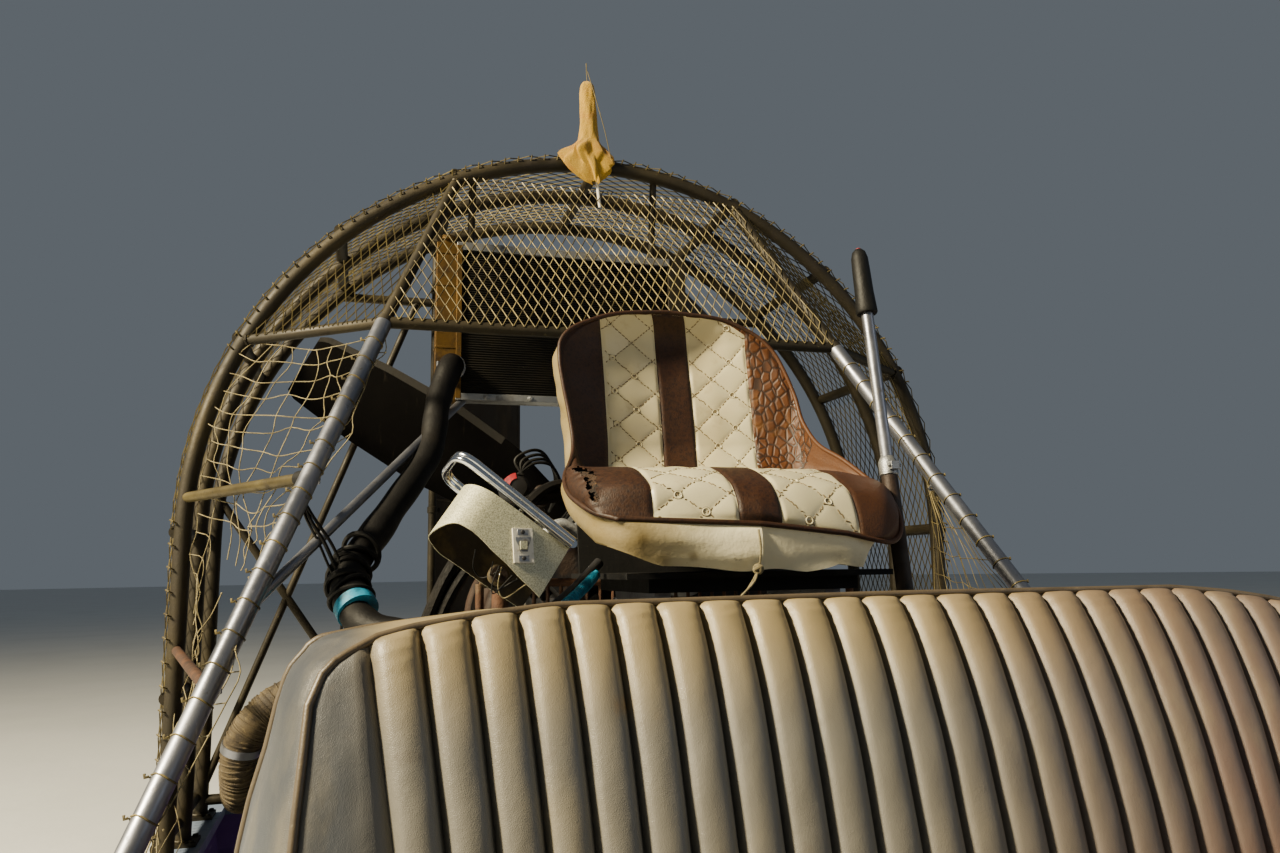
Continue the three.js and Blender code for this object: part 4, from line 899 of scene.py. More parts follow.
def diagonal_pieces():
    for side, sign in SIDES:
        top, foot = at(VISOR_END, sign), at(DIAGONAL_FOOT, sign)
        form = Form()
        form.tube([top + (foot - top) * t for t in (0.004, 0.2, 0.4, 0.6, 0.8, 1.0)], 0.022, 20)
        upper = [P(sign * ARCH_R, 0, 1490), along(top, foot, 0.315)]
        form.kind = 1
        form.rod(*upper, 0.014)
        form.kind = 4
        form.rod(P(sign * ARCH_R, 0, 1095), along(top, foot, 0.62), 0.012)
        form.kind = 0
        form.box(P(sign * 1110, -1140, GUNWALE_Z + 0.3), P(sign * 1186, -1040, GUNWALE_Z + 12))
        for dy in (-1128, -1052):
            bolt(form, P(sign * 1174, dy, GUNWALE_Z + 12), (0, 0, 1))
        if side == "starboard":
            form.rod(along(top, foot, 0.52), P(-420, 52, 1788), 0.012)
        for part in (0.315, 0.62):
            weld_bead(form, along(top, foot, part) + np.array((0, 0.018, 0)), foot - top, 0.0215, 0.003)
        # Wire ends twisted round the tube, where the net is tied
        down = unit(foot - top)
        outward = np.cross(down, (0, 1, 0))
        outward *= sign / np.linalg.norm(outward) * np.sign(outward[0])
        form.kind = 2
        for i in range(22):
            place = along(top, foot, 0.05 + 0.042 * i)
            ring = np.cross(down, outward)
            loop = [
                place + 0.0235 * (math.cos(a) * outward + math.sin(a) * ring)
                + down * 0.003 * math.sin(2 * a)
                for a in np.linspace(0, 6.0, 12)
            ]
            form.tube(loop, 0.0018, 4)
            knot = place + outward * 0.025
            form.tube([knot, knot + outward * 0.006 + down * 0.004,
                       knot + outward * 0.009 - down * 0.002], 0.0028, 5)
        form.kind = 3
        cap = along(*upper, 0.93)
        form.tube([cap, along(*upper, 1.0)], 0.0185, 14)
        build("diagonal_" + side + "_tube", form, "boat",
              ["bare_tube", "guard_mesh", "net_wire", "black_rubber", "rusty_rod"], ["diagonal_" + side])


def net_pieces():
    for side, sign in SIDES:
        top, foot = at(VISOR_END, sign), at(DIAGONAL_FOOT, sign)
        inboard = np.array((-sign * 0.02, 0, 0))
        torn = side == "starboard"
        rows, columns = (26, 9) if torn else (15, 13)

        def hoop_edge(v):
            """Down the front hoop from the visor's corner to the gunwale."""
            run_top = LEG + ARCH_R * math.asin((1926 - SPRING_Z) / ARCH_R)
            run = run_top + (90 - run_top) * v
            run = run if sign < 0 else RUN - run
            return on_wall(run, -14, ARCH_R - 8)

        def spot(u, v):
            a = hoop_edge(v)
            b = along(top, foot, 0.03 + 0.93 * v)
            place = a + (b - a) * u
            sag = 0.05 * math.sin(math.pi * u) * (0.6 if torn else 0.25)
            sway = 0.02 * (math.sin(9 * v + 4 * u) + math.sin(17 * v - 6 * u))
            return place + inboard + np.array((sway * sign * (1 if torn else 0.3), sway * 0.5, -sag))

        form = Form()
        rng = np.random.default_rng(3 if torn else 4)
        keep = np.ones((rows + 1, columns + 1))
        if torn:
            for i in range(rows + 1):
                for j in range(columns + 1):
                    v, u = i / rows, j / columns
                    if v > 0.42 and 0.15 < u < 0.9 - 0.4 * (v - 0.4) and rng.random() < 0.75:
                        keep[i, j] = 0
        grid = np.array([[spot(j / columns, i / rows) for j in range(columns + 1)]
                         for i in range(rows + 1)])
        grid += rng.normal(size=grid.shape) * (0.006 if torn else 0.004)
        if torn:
            # The free lower strands gather towards the diagonal and hang
            for i in range(rows + 1):
                v = i / rows
                pull = smoothstep(0.5, 1.0, v)
                for j in range(columns + 1):
                    u = j / columns
                    edge = spot(1, v)
                    grid[i, j] += (edge - grid[i, j]) * pull * 0.75 * min(1, u * 1.6)
                    grid[i, j][2] -= 0.05 * pull * math.sin(math.pi * u)
        radius = 0.0013 if torn else 0.0011
        runs = [[(i, j) for i in range(rows + 1)] for j in range(columns + 1)]
        runs += [[(i, j) for j in range(columns + 1)] for i in range(rows + 1)]
        for run in runs:
            part = []
            for i, j in run + [(None, None)]:
                if i is not None and keep[i, j]:
                    part.append(grid[i, j])
                    continue
                if len(part) > 1:
                    if torn and i is not None:
                        end = part[-1]
                        part.append(end + np.array((0.004, -0.004, -0.03)))
                        part.append(end + np.array((-0.004, 0.0, -0.07 * rng.uniform(0.5, 1.4))))
                    form.tube(spline(part, 3), radius, 4)
                part = []
        for i in range(rows + 1):
            for j in range(columns + 1):
                if keep[i, j] and rng.random() < 0.8:
                    form.lathe([(0.001, -0.0024), (0.0026, 0), (0.001, 0.0024)], grid[i, j], (0, 0, 1), 6)
        build("net_" + side + "_strands", form, "boat", ["string" if torn else "net_wire"],
              ["net_" + side])


def rear_frame_pieces():
    y = REAR_Y
    form = Form()
    form.rod(P(-787, y, 2230), P(787, y, 2230), 0.015)
    form.rod(P(-ARCH_R, y, 600), P(ARCH_R, y, 600), 0.016)
    for sign in (-1, 1):
        form.rod(P(sign * 531, y, 2230), P(sign * ARCH_R, y, 625), 0.012)
        form.rod(P(sign * ARCH_R, y, 1543), P(sign * 510, y, 600), 0.013)
        form.box(P(sign * RUDDER_X - 20, y, 600), P(sign * RUDDER_X + 20, 662, 612))
        form.rod(P(sign * RUDDER_X, RUDDER_Y, 606), P(sign * RUDDER_X, RUDDER_Y, 652), 0.008)
        weld_bead(form, P(sign * 531, y, 2218), (sign * 0.36, 0, -0.93), 0.013, 0.003)
    build("rear_frame_tubes", form, "boat", ["guard_tube"], ["rear_frame"])


# Passenger benches

# Rows of a cushion from its top or front edge, in millimetres:
# drop, half width of the face, half width at the rear, swell of the face
BACK_ROWS = [
    (0, 467, 600, 0), (9, 570, 690, 7), (19, 640, 748, 13), (28, 681, 762, 19), (40, 706, 772, 27),
    (52, 725, 780, 34), (68, 738, 785, 42), (94, 745, 790, 54), (143, 748, 800, 73), (198, 752, 815, 90),
    (251, 755, 825, 104), (330, 762, 833, 122), (440, 768, 835, 135),
]
SEAT_ROWS = [
    (0, 690, 700, 0), (4, 722, 735, 0), (18, 748, 762, 0), (40, 760, 776, 0), (70, 765, 780, 0),
    (460, 776, 790, 0),
]
CHANNELS = 24
CHANNEL_REACH = 0.694


def pad(name, rows, corner, slim, thick, fall, slant, tuck, place, replaces, seed):
    """A channelled cushion. Its face is a grid across and up; place(x, t, out) sets it in the frame.

    Above the corner's drop the sides run straight; slant draws the outer seams in towards the foot.
    """
    table = np.array(rows, float) / 1000
    table[:, 1:3] -= slim
    drops, faces, rears = table[:, 0], table[:, 1], table[:, 2]
    high, reach = drops[-1], CHANNEL_REACH - slim
    turn = drops <= corner + 1e-9
    side = faces[turn][-1]
    per, steps = 8, 60
    v = 1 - (1 - np.linspace(0, 1, steps + 1)) ** 1.5
    ends = np.linspace(0, 1, 9)[1:] ** 0.8
    lay = [(-1, e) for e in ends[::-1]] + [(0, x) for x in np.linspace(-reach, reach, CHANNELS * per + 1)]
    lay += [(1, e) for e in ends]
    count = len(lay)
    x, t = np.zeros((steps + 1, count)), np.zeros((steps + 1, count))
    tops, u, inside = np.zeros(count), np.zeros(count), np.zeros(count, bool)
    for j, (end, a) in enumerate(lay):
        top_x = a if end == 0 else end * (reach + (side - reach) * a)
        tops[j] = high - np.interp(abs(top_x), faces[turn], drops[turn])
        t[:, j] = v * tops[j]
        fan = np.clip((high - t[:, j]) / 0.24, 0, 1.3)
        if end == 0:
            inside[j] = True
            u[j] = (a + reach) / (2 * reach / CHANNELS) % 1 * 2 - 1
            x[:, j] = a - np.sign(a) * slant * np.clip((abs(a) - 0.15) / 0.55, 0, 1) ** 2 * fan
        else:
            start = reach - slant * np.clip((reach - 0.15) / 0.55, 0, 1) ** 2 * fan
            x[:, j] = end * (start + (np.interp(np.maximum(high - t[:, j], corner), drops, faces)
                                      - start) * a)
    drop = high - t
    across = np.interp(np.maximum(drop, corner), drops, faces) - abs(x)
    upward = tops - t
    edge = np.minimum(across, upward)
    inset = np.sqrt(np.clip(1 - (1 - np.clip(edge / 0.026, 0, 1)) ** 2, 0, 1))
    puff = np.where(inside, 0.0165 * np.sqrt(np.clip(1 - u**2, 0, 1)),
                    0.006 * np.clip(across / 0.05, 0, 1) ** 0.5)
    seam = np.where(inside, -0.004 * np.exp(-((1 - abs(u)) / 0.07) ** 2), 0)
    world = np.stack([x, t, 0 * x], -1)
    folds = wander(world * (3.2, 1.0, 1), 0.05, seed) * 0.0006 + wander(world, 0.16, seed + 1) * 0.0016
    pinch = 0.0011 * np.sin(t * 420 + 3 * wander(world, 0.03, seed)) * np.exp(-upward / 0.03) * inside
    creases = 0.0009 * np.clip(wander(world * (1, 0.35, 1), 0.022, seed + 3), 0,
                               1) * np.exp(-(1 - abs(u)) / 0.35) * inside
    lift = (puff + seam + folds + pinch - creases) * inset
    swell = through(table[:, [0, 3]], drop.ravel()).reshape(drop.shape)
    slope = np.gradient(through(table[:, [0, 3]], np.linspace(0, high, 200))[:, 0], high / 199)
    slope = np.interp(drop, np.linspace(0, high, 200), slope)
    length = np.sqrt(1 + slope**2)
    out = swell + lift / length - tuck * np.clip(1 - t / 0.05, 0, 1) ** 2
    up = t + lift * slope / length
    form = Form()
    form.grid(np.array([[place(x[i, j], up[i, j], out[i, j]) for j in range(count)]
                        for i in range(steps + 1)]))
    border = [(0, j) for j in range(count)]
    border += [(i, count - 1) for i in range(1, steps + 1)]
    border += [(steps, j) for j in range(count - 2, -1, -1)]
    border += [(i, 0) for i in range(steps - 1, 0, -1)]
    rings = []
    for k in range(13):
        part = k / 12
        hump = math.sin(math.pi * part)
        ring = []
        for i, j in border:
            wide = np.interp(drop[i, j], drops, rears) / np.interp(drop[i, j], drops, faces)
            loose = wander(np.array((x[i, j], t[i, j] * 0.4, part * 0.1)), 0.05, seed + 5) * 0.0022
            ax = x[i, j] * (1 + (wide - 1) * part**0.6) + np.sign(x[i, j]) * (0.006 + loose) * hump
            at_rear = max(t[i, j] - fall, 0)
            az = up[i, j] * (1 - part) + at_rear * part + 0.004 * hump * t[i, j] / high
            ring.append(place(ax, az, out[i, j] * (1 - part) - thick * part))
        rings.append(ring)
    form.rings(rings, caps=False)
    last = np.array(rings[-1])
    form.add(np.vstack([last, last.mean(0)]),
             [(k, (k + 1) % len(last), len(last)) for k in range(len(last))])
    form.kind = 1
    for ring, away in ((np.array(rings[0]), 0.004), (last, 0.0)):
        path = np.vstack([ring[count - 1 :], ring[:1]])[::2]
        outward = path - ring.mean(0)
        form.tube(path + outward / np.linalg.norm(outward, axis=1, keepdims=True) * away, 0.005, 8)
    piece = build(name, form, "boat", ["bench_vinyl", "bench_piping"], replaces, smooth=50,
                  weld=True)


# Place and height of each bench's seat in millimetres, and how much narrower it is in metres
BENCHES = {"rear": (-1577, 800, 0.0), "front": (-2640, 450, 0.04)}


def bench_pieces():
    for k, (name, (y, seat, slim)) in enumerate(BENCHES.items()):
        def back_place(x, t, out, y=y, seat=seat):
            return P(x * 1000, y, seat + 0.5) + np.array((0, -out, t))

        def seat_place(x, t, out, y=y, seat=seat):
            return P(x * 1000, y - 8, seat) + np.array((0, -t, out - 0.012))

        pad(name + "_back_cushion", BACK_ROWS, 0.094, slim, 0.094, 0.014, 0.035, 0.0, back_place,
            [name + "_bench_back"], k)
        pad(name + "_seat_cushion", SEAT_ROWS, 0.07, slim, 0.1, 0.0, 0.0, 0.012, seat_place,
            [name + "_bench_seat"], k + 10)


# Driver's seat

SEAT_X = -55
# Share of the way from the front edge to the top, then y and z of the middle line
SEAT_MIDDLE = [
    (0.0, -1262, 1355), (0.03, -1258, 1382), (0.07, -1230, 1419), (0.12, -1178, 1448),
    (0.19, -1113, 1463),
    (0.27, -1040, 1459), (0.34, -960, 1447), (0.40, -900, 1441), (0.44, -874, 1452), (0.48, -863, 1480),
    (0.54, -855, 1528), (0.62, -845, 1590), (0.72, -830, 1670), (0.82, -813, 1755), (0.93, -800, 1830),
    (1.0, -788, 1850),
]
# The same share, then half width, y and z of the piped edge
PORT_EDGE = [
    (0.0, 163, -1258, 1338), (0.03, 226, -1252, 1326), (0.06, 257, -1240, 1324), (0.10, 290, -1216, 1338),
    (0.15, 316, -1178, 1369), (0.20, 333, -1130, 1404), (0.27, 328, -1065, 1448),
    (0.34, 304, -1000, 1499),
    (0.41, 282, -935, 1540), (0.47, 277, -885, 1590), (0.56, 273, -855, 1657), (0.65, 255, -840, 1720),
    (0.74, 232, -828, 1769), (0.86, 173, -812, 1818), (0.94, 105, -803, 1841), (1.0, 1, -795, 1850),
]
STARBOARD_EDGE = [
    (0.0, 244, -1235, 1365), (0.03, 270, -1203, 1376), (0.08, 288, -1130, 1402), (0.15, 288, -1050, 1434),
    (0.21, 276, -990, 1463), (0.27, 258, -945, 1486), (0.33, 243, -910, 1515), (0.40, 236, -880, 1553),
    (0.47, 240, -862, 1607), (0.57, 249, -850, 1669), (0.66, 254, -840, 1723), (0.75, 246, -825, 1769),
    (0.87, 186, -810, 1814), (0.95, 100, -802, 1840), (1.0, 1, -795, 1850),
]
# Foot of the boxing along the front: x and z
BOXING_FOOT = [
    (-290, 1342), (-277, 1318), (-228, 1304), (-173, 1289), (-100, 1282), (-27, 1279), (85, 1275),
    (164, 1285),
    (225, 1300), (262, 1316), (300, 1330),
]
QUILT_LONG, QUILT_WIDE = 79, 45
QUILT_Z = 1697
CUSHION_NODE = 20
# x of each quilted stripe's column of buttons, and of the column beside it
QUILTS = [(-93, -138), (91, 136)]
# Columns of the skin's grid where its stripes end
STRIPE_ENDS = (0, 34, 86, 114, 166, 200)
CREAM_IN = 38
HOLLOW = 52
# Share of the way where the cushion meets the backrest
CREASE = 0.435


def seat_at(points):
    """Places of the seat's own millimetres in the frame."""
    return P(SEAT_X, 0, 0) + points / 1000


def seat_pieces():
    rows, columns = 250, 200
    v = np.linspace(0, 1, rows + 1)
    middle = through(SEAT_MIDDLE, v)
    rims = through(STARBOARD_EDGE, v), through(PORT_EDGE, v)
    left, right = rims[0][:, 0], rims[1][:, 0]
    borders = (160 + 22 * smoothstep(0.45, 0.2, v), 177 + 12 * smoothstep(0.45, 0.2, v))
    limits = np.stack([
        -left, -np.minimum(borders[0], 0.995 * left), -np.minimum(CREAM_IN, 0.99 * left),
        np.minimum(CREAM_IN, 0.99 * right), np.minimum(borders[1], 0.995 * right), right,
    ], 1)
    column = np.arange(columns + 1.0)
    side_columns = STRIPE_ENDS[1]
    near_edge = np.minimum(column, columns - column)
    packed = side_columns * (1 - np.cos(math.pi / 2 * near_edge / side_columns))
    column = np.where(near_edge < side_columns, np.where(column < columns / 2, packed, columns - packed),
                      column)
    x = np.array([np.interp(column, STRIPE_ENDS, row) for row in limits])
    reach = np.clip(abs(x) / np.where(x < 0, left[:, None], right[:, None]), 0, 1)
    u = 2 / math.pi * np.arcsin(reach ** (1 / 0.9))
    lean = 1 - (1 - u**2.4) ** 0.6
    in_front = smoothstep(0.08, 0.0, v)[:, None]
    lean = reach * in_front + lean * (1 - in_front)
    grid = np.zeros((rows + 1, columns + 1, 3))
    grid[..., 0] = x
    for axis in (1, 2):
        at_edge = np.where(x < 0, rims[0][:, axis][:, None], rims[1][:, axis][:, None])
        grid[..., axis] = middle[:, axis - 1][:, None] + (at_edge - middle[:, axis - 1][:, None]) * lean
    # The backrest is hollow between its wings
    hollow = (smoothstep(0.44, 0.56, v) * smoothstep(1.0, 0.84, v))[:, None] * (1 - reach**2)
    grid += (HOLLOW * hollow)[..., None] * np.array((0.351, 1, 0.132))
    # Crown across the cushion and the backrest
    lengths = np.concatenate([[0], np.cumsum(np.linalg.norm(np.diff(middle, axis=0), axis=1))])
    s = np.broadcast_to(lengths[:, None], grid.shape[:2])
    share = np.broadcast_to(v[:, None], x.shape)
    back_node = float(np.interp(QUILT_Z, middle[rows // 2 :, 1], lengths[rows // 2 :]))
    node = np.where(share < CREASE, CUSHION_NODE, back_node)
    from_node = np.where(x < 0, x - QUILTS[0][0], x - QUILTS[1][0])
    tilt = QUILT_LONG / 2 / QUILT_WIDE
    quilt_a, quilt_b = (s - node + tilt * from_node) / QUILT_LONG, (s - node
            - tilt * from_node) / QUILT_LONG
    diamond = (abs(np.sin(math.pi * quilt_a)) * abs(np.sin(math.pi * quilt_b))) ** 0.4
    outer = np.where(x < 0, borders[0][:, None], borders[1][:, None])
    cream = (abs(x) > CREAM_IN) & (abs(x) < outer)
    lift = np.where(cream, 4.2 * diamond, 3.8)
    for border in (CREAM_IN, outer):
        lift = lift * (1 - 0.95 * np.exp(-((abs(x) - border) / 3.6) ** 2))
    lift += 1.6 * wander(grid / 1000, 0.09, 5) + 0.7 * wander(grid / 1000, 0.03, 6)
    lift *= smoothstep(0, 0.05, 1 - u) * smoothstep(0, 0.02, share)
    lift -= 8 * np.exp(-((share - CREASE) / 0.012) ** 2) * (abs(x) < 215)
    along_v = np.gradient(grid, axis=0)
    along_u = np.gradient(grid, axis=1)
    normal = np.cross(along_u, along_v)
    length = np.linalg.norm(normal, axis=-1, keepdims=True)
    normal = np.where(length > 1e-9, normal / np.maximum(length, 1e-9), (0, -1, 0))
    flip = np.sign(normal[rows // 4, columns // 2, 2])
    grid = grid + normal * flip * lift[..., None]
    normal = normal * flip

    # The tear on the starboard arm: a ragged slit from behind its crest down its front
    part = (0.225 - share) / 0.17
    off = x + 267 + 3 * part + 2.5 * np.sin(part * 9)
    ragged = 5 * np.sin(math.pi * np.clip(part, 0,
                                          1)) ** 0.5 + 1.8 * np.sin(part * 41) + 1.6 * np.sin(part * 77
                                                  + 1)
    on_arm = (x < -180) & (share < 0.4)
    hole = (abs(off) < ragged) & on_arm & (part > 0) & (part < 1)
    near = np.exp(-np.clip(abs(off) - ragged, 0, None) / 5) * on_arm * (part > -0.05) * (part < 1.05)
    skin = grid + normal * (near * (2.5 + 3.5 * np.sin(part * 43)))[..., None]

    form = Form()
    points = seat_at(skin)
    faces = []
    kinds = []
    for i in range(rows):
        for j in range(columns):
            if hole[i, j] or hole[i + 1, j] or hole[i, j + 1] or hole[i + 1, j + 1]:
                continue
            a = i * (columns + 1) + j
            faces.append((a, a + 1, a + columns + 2, a + columns + 1))
            croc = j >= STRIPE_ENDS[4] and v[i] > 0.42
            kinds.append(4 if croc else int(np.searchsorted(STRIPE_ENDS, j, 'right') % 2))
    form.add(points.reshape(-1, 3), faces)
    form.kinds = kinds

    # Boxing under and behind the piped edge
    edge = [(0, j) for j in range(columns + 1)]
    edge += [(i, columns) for i in range(1, rows + 1)]
    edge += [(i, 0) for i in range(rows - 1, 0, -1)]
    ring0 = np.array([grid[i, j] for i, j in edge])
    share_v = np.array([v[i] for i, j in edge])
    low = ring0.copy()
    low[:, 0] *= 0.985
    low[:, 1] += 5
    foot = np.interp(ring0[:, 0], *np.array(BOXING_FOOT, float).T) + 1.2 * np.sin(ring0[:, 0] / 23)
    deep = np.where(ring0[:, 0] < 0, 52, 9 + 50 * smoothstep(0.11, 0.28, share_v))
    to_side = smoothstep(0.0, 0.09, share_v)
    low[:, 2] = foot * (1 - to_side) + (ring0[:, 2] - deep) * to_side
    rear = ring0.copy()
    rear[:, 0] *= 0.975
    rear[:, 1] += 88
    rear[:, 2] -= 14
    mixed = smoothstep(0.20, 0.44, share_v)[:, None]
    back_ring = low + (rear - low) * mixed
    rings = []
    outward = np.stack([ring0[:, 0], ring0[:, 1] + 1000, ring0[:, 2] - 1560], -1)
    outward[:, 0] /= 0.3
    outward /= np.linalg.norm(outward, axis=1, keepdims=True)
    turned = to_side[:, None]
    outward = outward * turned + np.array((0, -1, 0.1)) * (1 - turned)
    outward /= np.linalg.norm(outward, axis=1, keepdims=True)
    # Corners of the boxing are rounder than the piped edge
    reach_of = 22
    kernel = np.ones(2 * reach_of + 1) / (2 * reach_of + 1)

    def eased(ring):
        wrapped = np.vstack([ring[-reach_of:], ring, ring[:reach_of]])
        return np.stack([np.convolve(wrapped[:, k], kernel, "valid") for k in range(3)], 1)

    round_ring, outward = eased(ring0), eased(outward)
    full = 12 + 9 * (ring0[:, 0] > 0) * smoothstep(0.40, 0.52, share_v) * smoothstep(0.9, 0.75, share_v)
    for k in range(15):
        part = k / 14
        line = ring0 + (back_ring - ring0) * part + (round_ring
                                                     - ring0) * float(smoothstep(0, 0.35, part))
        bulge = full * math.sin(math.pi * min(1, part * 1.05)) ** 0.7 * np.clip((deep - 4) / 30, 0.2, 1)
        wrinkle = 3.4 * wander(line / 1000 * (1, 1, 2.0), 0.05, 8) * math.sin(math.pi * part)
        sag = 1.5 * part**3 * wander(line / 1000, 0.05, 9)
        rings.append(line + outward * (bulge + wrinkle)[:, None] + np.array((0, 0, 1)) * sag[:, None])
    form.kind = 2
    world = [seat_at(ring) for ring in rings]
    form.rings(world, caps=False)
    last = world[-1]
    hub = P(SEAT_X, -815, 1330)
    form.add(np.vstack([last, hub]), [(k, (k + 1) % len(last), len(last)) for k in range(len(last))])
    form.kind = 1
    form.tube(seat_at((ring0 + outward * 2.5)[::2]), 0.0048, 8, closed=True)
    form.kind = 3
    # Foam behind the tear
    rows_in = np.where(hole.any(1))[0]
    columns_in = np.where(hole.any(0))[0]
    i0, i1 = rows_in.min() - 3, rows_in.max() + 4
    j0, j1 = max(columns_in.min() - 3, 0), columns_in.max() + 4
    patch = grid[i0:i1, j0:j1]
    deep_in = 9 + 4 * wander(patch / 1000, 0.02, 12)
    form.grid(seat_at(patch - normal[i0:i1, j0:j1] * deep_in[..., None]))
    piece = build("driver_seat_upholstery", form, "boat",
                  ["seat_vinyl", "seat_brown", "seat_boxing", "old_foam", "seat_croc"],
                  ["driver_seat_cushion", "driver_seat_back"], smooth=60, weld=True)

    def on_skin(across, length, lift=0.0):
        i = int(np.argmin(abs(lengths - length)))
        j = int(np.argmin(abs(x[i] - across)))
        return seat_at(grid[i, j] + normal[i, j] * lift), normal[i, j], outer[i, j]

    parts = (CUSHION_NODE, 8, 0.42 * lengths[-1]), (back_node, 0.44 * lengths[-1], lengths[-1] - 10)
    buttons = Form()
    for whole, beside in QUILTS:
        sign = 1 if whole > 0 else -1
        for start, first, last_length in parts:
            for column_x, shift in ((whole, 0), (beside, QUILT_LONG / 2)):
                for k in range(-5, 6):
                    length = start + shift + k * QUILT_LONG
                    if not first + 6 < length < last_length - 8:
                        continue
                    place, up, border = on_skin(column_x, length, 0.8)
                    if abs(column_x) > border - 7:
                        continue
                    side_way = unit(np.cross(up, (1, 0, 0)))
                    other = np.cross(up, side_way)
                    for kind, radius, thick, sides in ((0, 0.0064, 0.0014, 8), (1, 0.0082, 0.0005, 5)):
                        buttons.kind = kind
                        buttons.tube(circle(place, side_way, other, radius, 20), thick, sides,
                                     closed=True)
            # Stitches along both ways of the diamonds
            buttons.kind = 1
            for way in (-1, 1):
                for k in range(-8, 9):
                    line = []
                    for across in np.linspace(CREAM_IN + 2, 188, 44) * sign:
                        length = start + k * QUILT_LONG + way * tilt * (across - whole)
                        if first < length < last_length:
                            place, _, border = on_skin(across, length, 0.4)
                            if abs(across) < border - 2:
                                line.append(place)
                    for m in range(0, len(line) - 1, 2):
                        buttons.tube([line[m], along(line[m], line[m + 1], 1.25)], 0.0011, 5)
    build("seat_buttons", buttons, "boat", ["seat_vinyl", "seat_thread"])


# Fittings

def placed_at(place, *turns):
    """A function from local millimetres to the row frame: turned about axes, then moved to place."""
    turn = Matrix.Identity(3)
    for angle, axis in turns:
        turn = Matrix.Rotation(math.radians(angle), 3, axis) @ turn
    turn = np.array(turn)
    return lambda x, y, z: P(*place) + turn @ np.array((x, y, z)) / 1000


def clamp(form, place, step, radius, wide=0.014):
    """A worm-drive clamp round a hose."""
    high = radius + 0.0015
    form.lathe([(radius, -wide / 2), (high, -wide / 2), (high, wide / 2), (radius, wide / 2)], place,
               step, 28)
    side, across = square_to(step, (0, 1, 0))
    head = place + side * (radius + 0.004)
    form.rod(head - across * 0.014, head + across * 0.014, 0.0055, 10)
    form.rod(head + across * 0.014, head + across * 0.019, 0.0042, 6)


def wire(name, points, diameter, finish, stiffness="medium", far_end="object", lay="loose", steps=8):
    """A cord along a smooth route."""
    path = spline(points, steps)
    form = Form()
    form.tube(path, diameter / 2, 8)
    obj = build(name, form, "boat", [finish])
    return obj


# The console's own millimetres: x down its slope, y to the rear, z up from its sheet
hang = placed_at((-540, -1215, 1437), (-15, "X"), (35, "Y"))
CONSOLE_LONG, CONSOLE_DEEP, CONSOLE_HIGH = 204, 100, 96


def binding(form, path, picks, radius, thick, sway, turn, up, sides, count):
    """Rings of cord round a hose at some points of its path, each a little askew."""
    for k, i in enumerate(picks):
        step = unit(path[i + 1] - path[i])
        side = unit(np.cross(step, up))
        ring = circle(path[i], side, np.cross(step, side), radius, count)
        form.tube(ring + np.outer(sway * np.sin(turns(count) + turn * k), step), thick, sides,
                  closed=True)


def bowed(x):
    """How far the front of the console's sheet stands back from flat."""
    return 9 * ((x - 50) / 150) ** 2 if x > 50 else 0.0


